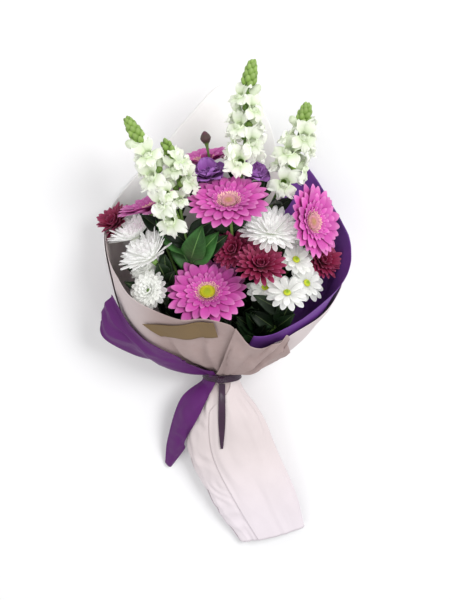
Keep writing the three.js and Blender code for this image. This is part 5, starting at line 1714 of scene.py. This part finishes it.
class BOUQUET_OT_stage(bpy.types.Operator):
    """Adds a pale floor, soft lights and the camera"""

    bl_idname = "bouquet.stage"
    bl_label = "Stage"

    def execute(self, context):
        look = context.scene.bouquet_stage
        bpy.ops.mesh.primitive_plane_add(size=12, location=(0, 0, -0.0005))
        floor = bpy.context.object
        floor.name = "floor"
        nodes = Nodes("floor", 0.9)
        faint = nodes.noise(nodes.objects(), 6.0, 2.0)
        floor.data.materials.append(nodes.colour(nodes.ramp(
            faint, (0.3, shade(look.floor, 0.99)), (0.7, look.floor))))
        self.light("key", (0.9, 0.8, 1.7), 0.9, look.key)
        self.light("fill", (-1.3, -0.5, 1.6), 1.6, look.fill)
        world = bpy.data.worlds.new("even_light")
        world.use_nodes = True
        sky = world.node_tree.nodes["Background"]
        sky.inputs["Color"].default_value = (1, 1, 1, 1)
        sky.inputs["Strength"].default_value = look.sky
        context.scene.world = world
        context.scene.view_settings.view_transform = "Standard"

        camera = bpy.data.cameras.new("camera")
        camera.lens = look.lens
        camera.sensor_width = 36
        camera.clip_end = 20
        seen = bpy.data.objects.new("camera", camera)
        context.scene.collection.objects.link(seen)
        turn = Matrix(((1, 0, 0), (0, CAMERA_COSINE, CAMERA_SINE), (0, -CAMERA_SINE, CAMERA_COSINE)))
        seen.matrix_world = Matrix.Translation(spot(*CAMERA_AT)) @ turn.to_4x4()
        context.scene.camera = seen
        return {"FINISHED"}

    def light(self, name, place, size, power):
        lamp = bpy.data.lights.new(name, "AREA")
        lamp.shape = "DISK"
        lamp.size = size
        lamp.energy = power
        piece = bpy.data.objects.new(name, lamp)
        bpy.context.scene.collection.objects.link(piece)
        piece.location = place
        piece.rotation_euler = (-Vector(place)).to_track_quat("-Z", "Y").to_euler()


class BOUQUET_PT_panel(bpy.types.Panel):
    """Sizes, colours and the steps that build the bouquet"""

    bl_label = "Bouquet"
    bl_space_type = "VIEW_3D"
    bl_region_type = "UI"
    bl_category = "Bouquet"

    def draw(self, context):
        for name, kind in GROUPS.items():
            group = getattr(context.scene, name)
            box = self.layout.box()
            for key in kind.__annotations__:
                box.prop(group, key)
        for step in STEPS:
            self.layout.operator(step.bl_idname)


GROUPS = {
    "bouquet_paper": BouquetPaper, "bouquet_ribbon": BouquetRibbon, "bouquet_blooms": BouquetBlooms,
    "bouquet_greens": BouquetGreens, "bouquet_stage": BouquetStage,
}
# In this order, because each piece takes up room that the next ones keep clear of.
STEPS = (
    BOUQUET_OT_wrap, BOUQUET_OT_ribbon, BOUQUET_OT_stems, BOUQUET_OT_gerberas, BOUQUET_OT_mums,
    BOUQUET_OT_leaves, BOUQUET_OT_daisies, BOUQUET_OT_spider_mums, BOUQUET_OT_snapdragons,
    BOUQUET_OT_lisianthuses, BOUQUET_OT_fillers, BOUQUET_OT_stage,
)


def register():
    for kind in (*GROUPS.values(), *STEPS, BOUQUET_PT_panel):
        bpy.utils.register_class(kind)
    for name, kind in GROUPS.items():
        setattr(bpy.types.Scene, name, bpy.props.PointerProperty(type=kind))


def unregister():
    for name in GROUPS:
        delattr(bpy.types.Scene, name)
    for kind in reversed((*GROUPS.values(), *STEPS, BOUQUET_PT_panel)):
        bpy.utils.unregister_class(kind)


def main():
    register()
    for step in STEPS:
        operator = getattr(bpy.ops.bouquet, step.bl_idname.split(".")[1])
        if operator() != {"FINISHED"}:
            raise RuntimeError(f"{step.bl_label} did not finish")


if __name__ == "__main__":
    main()
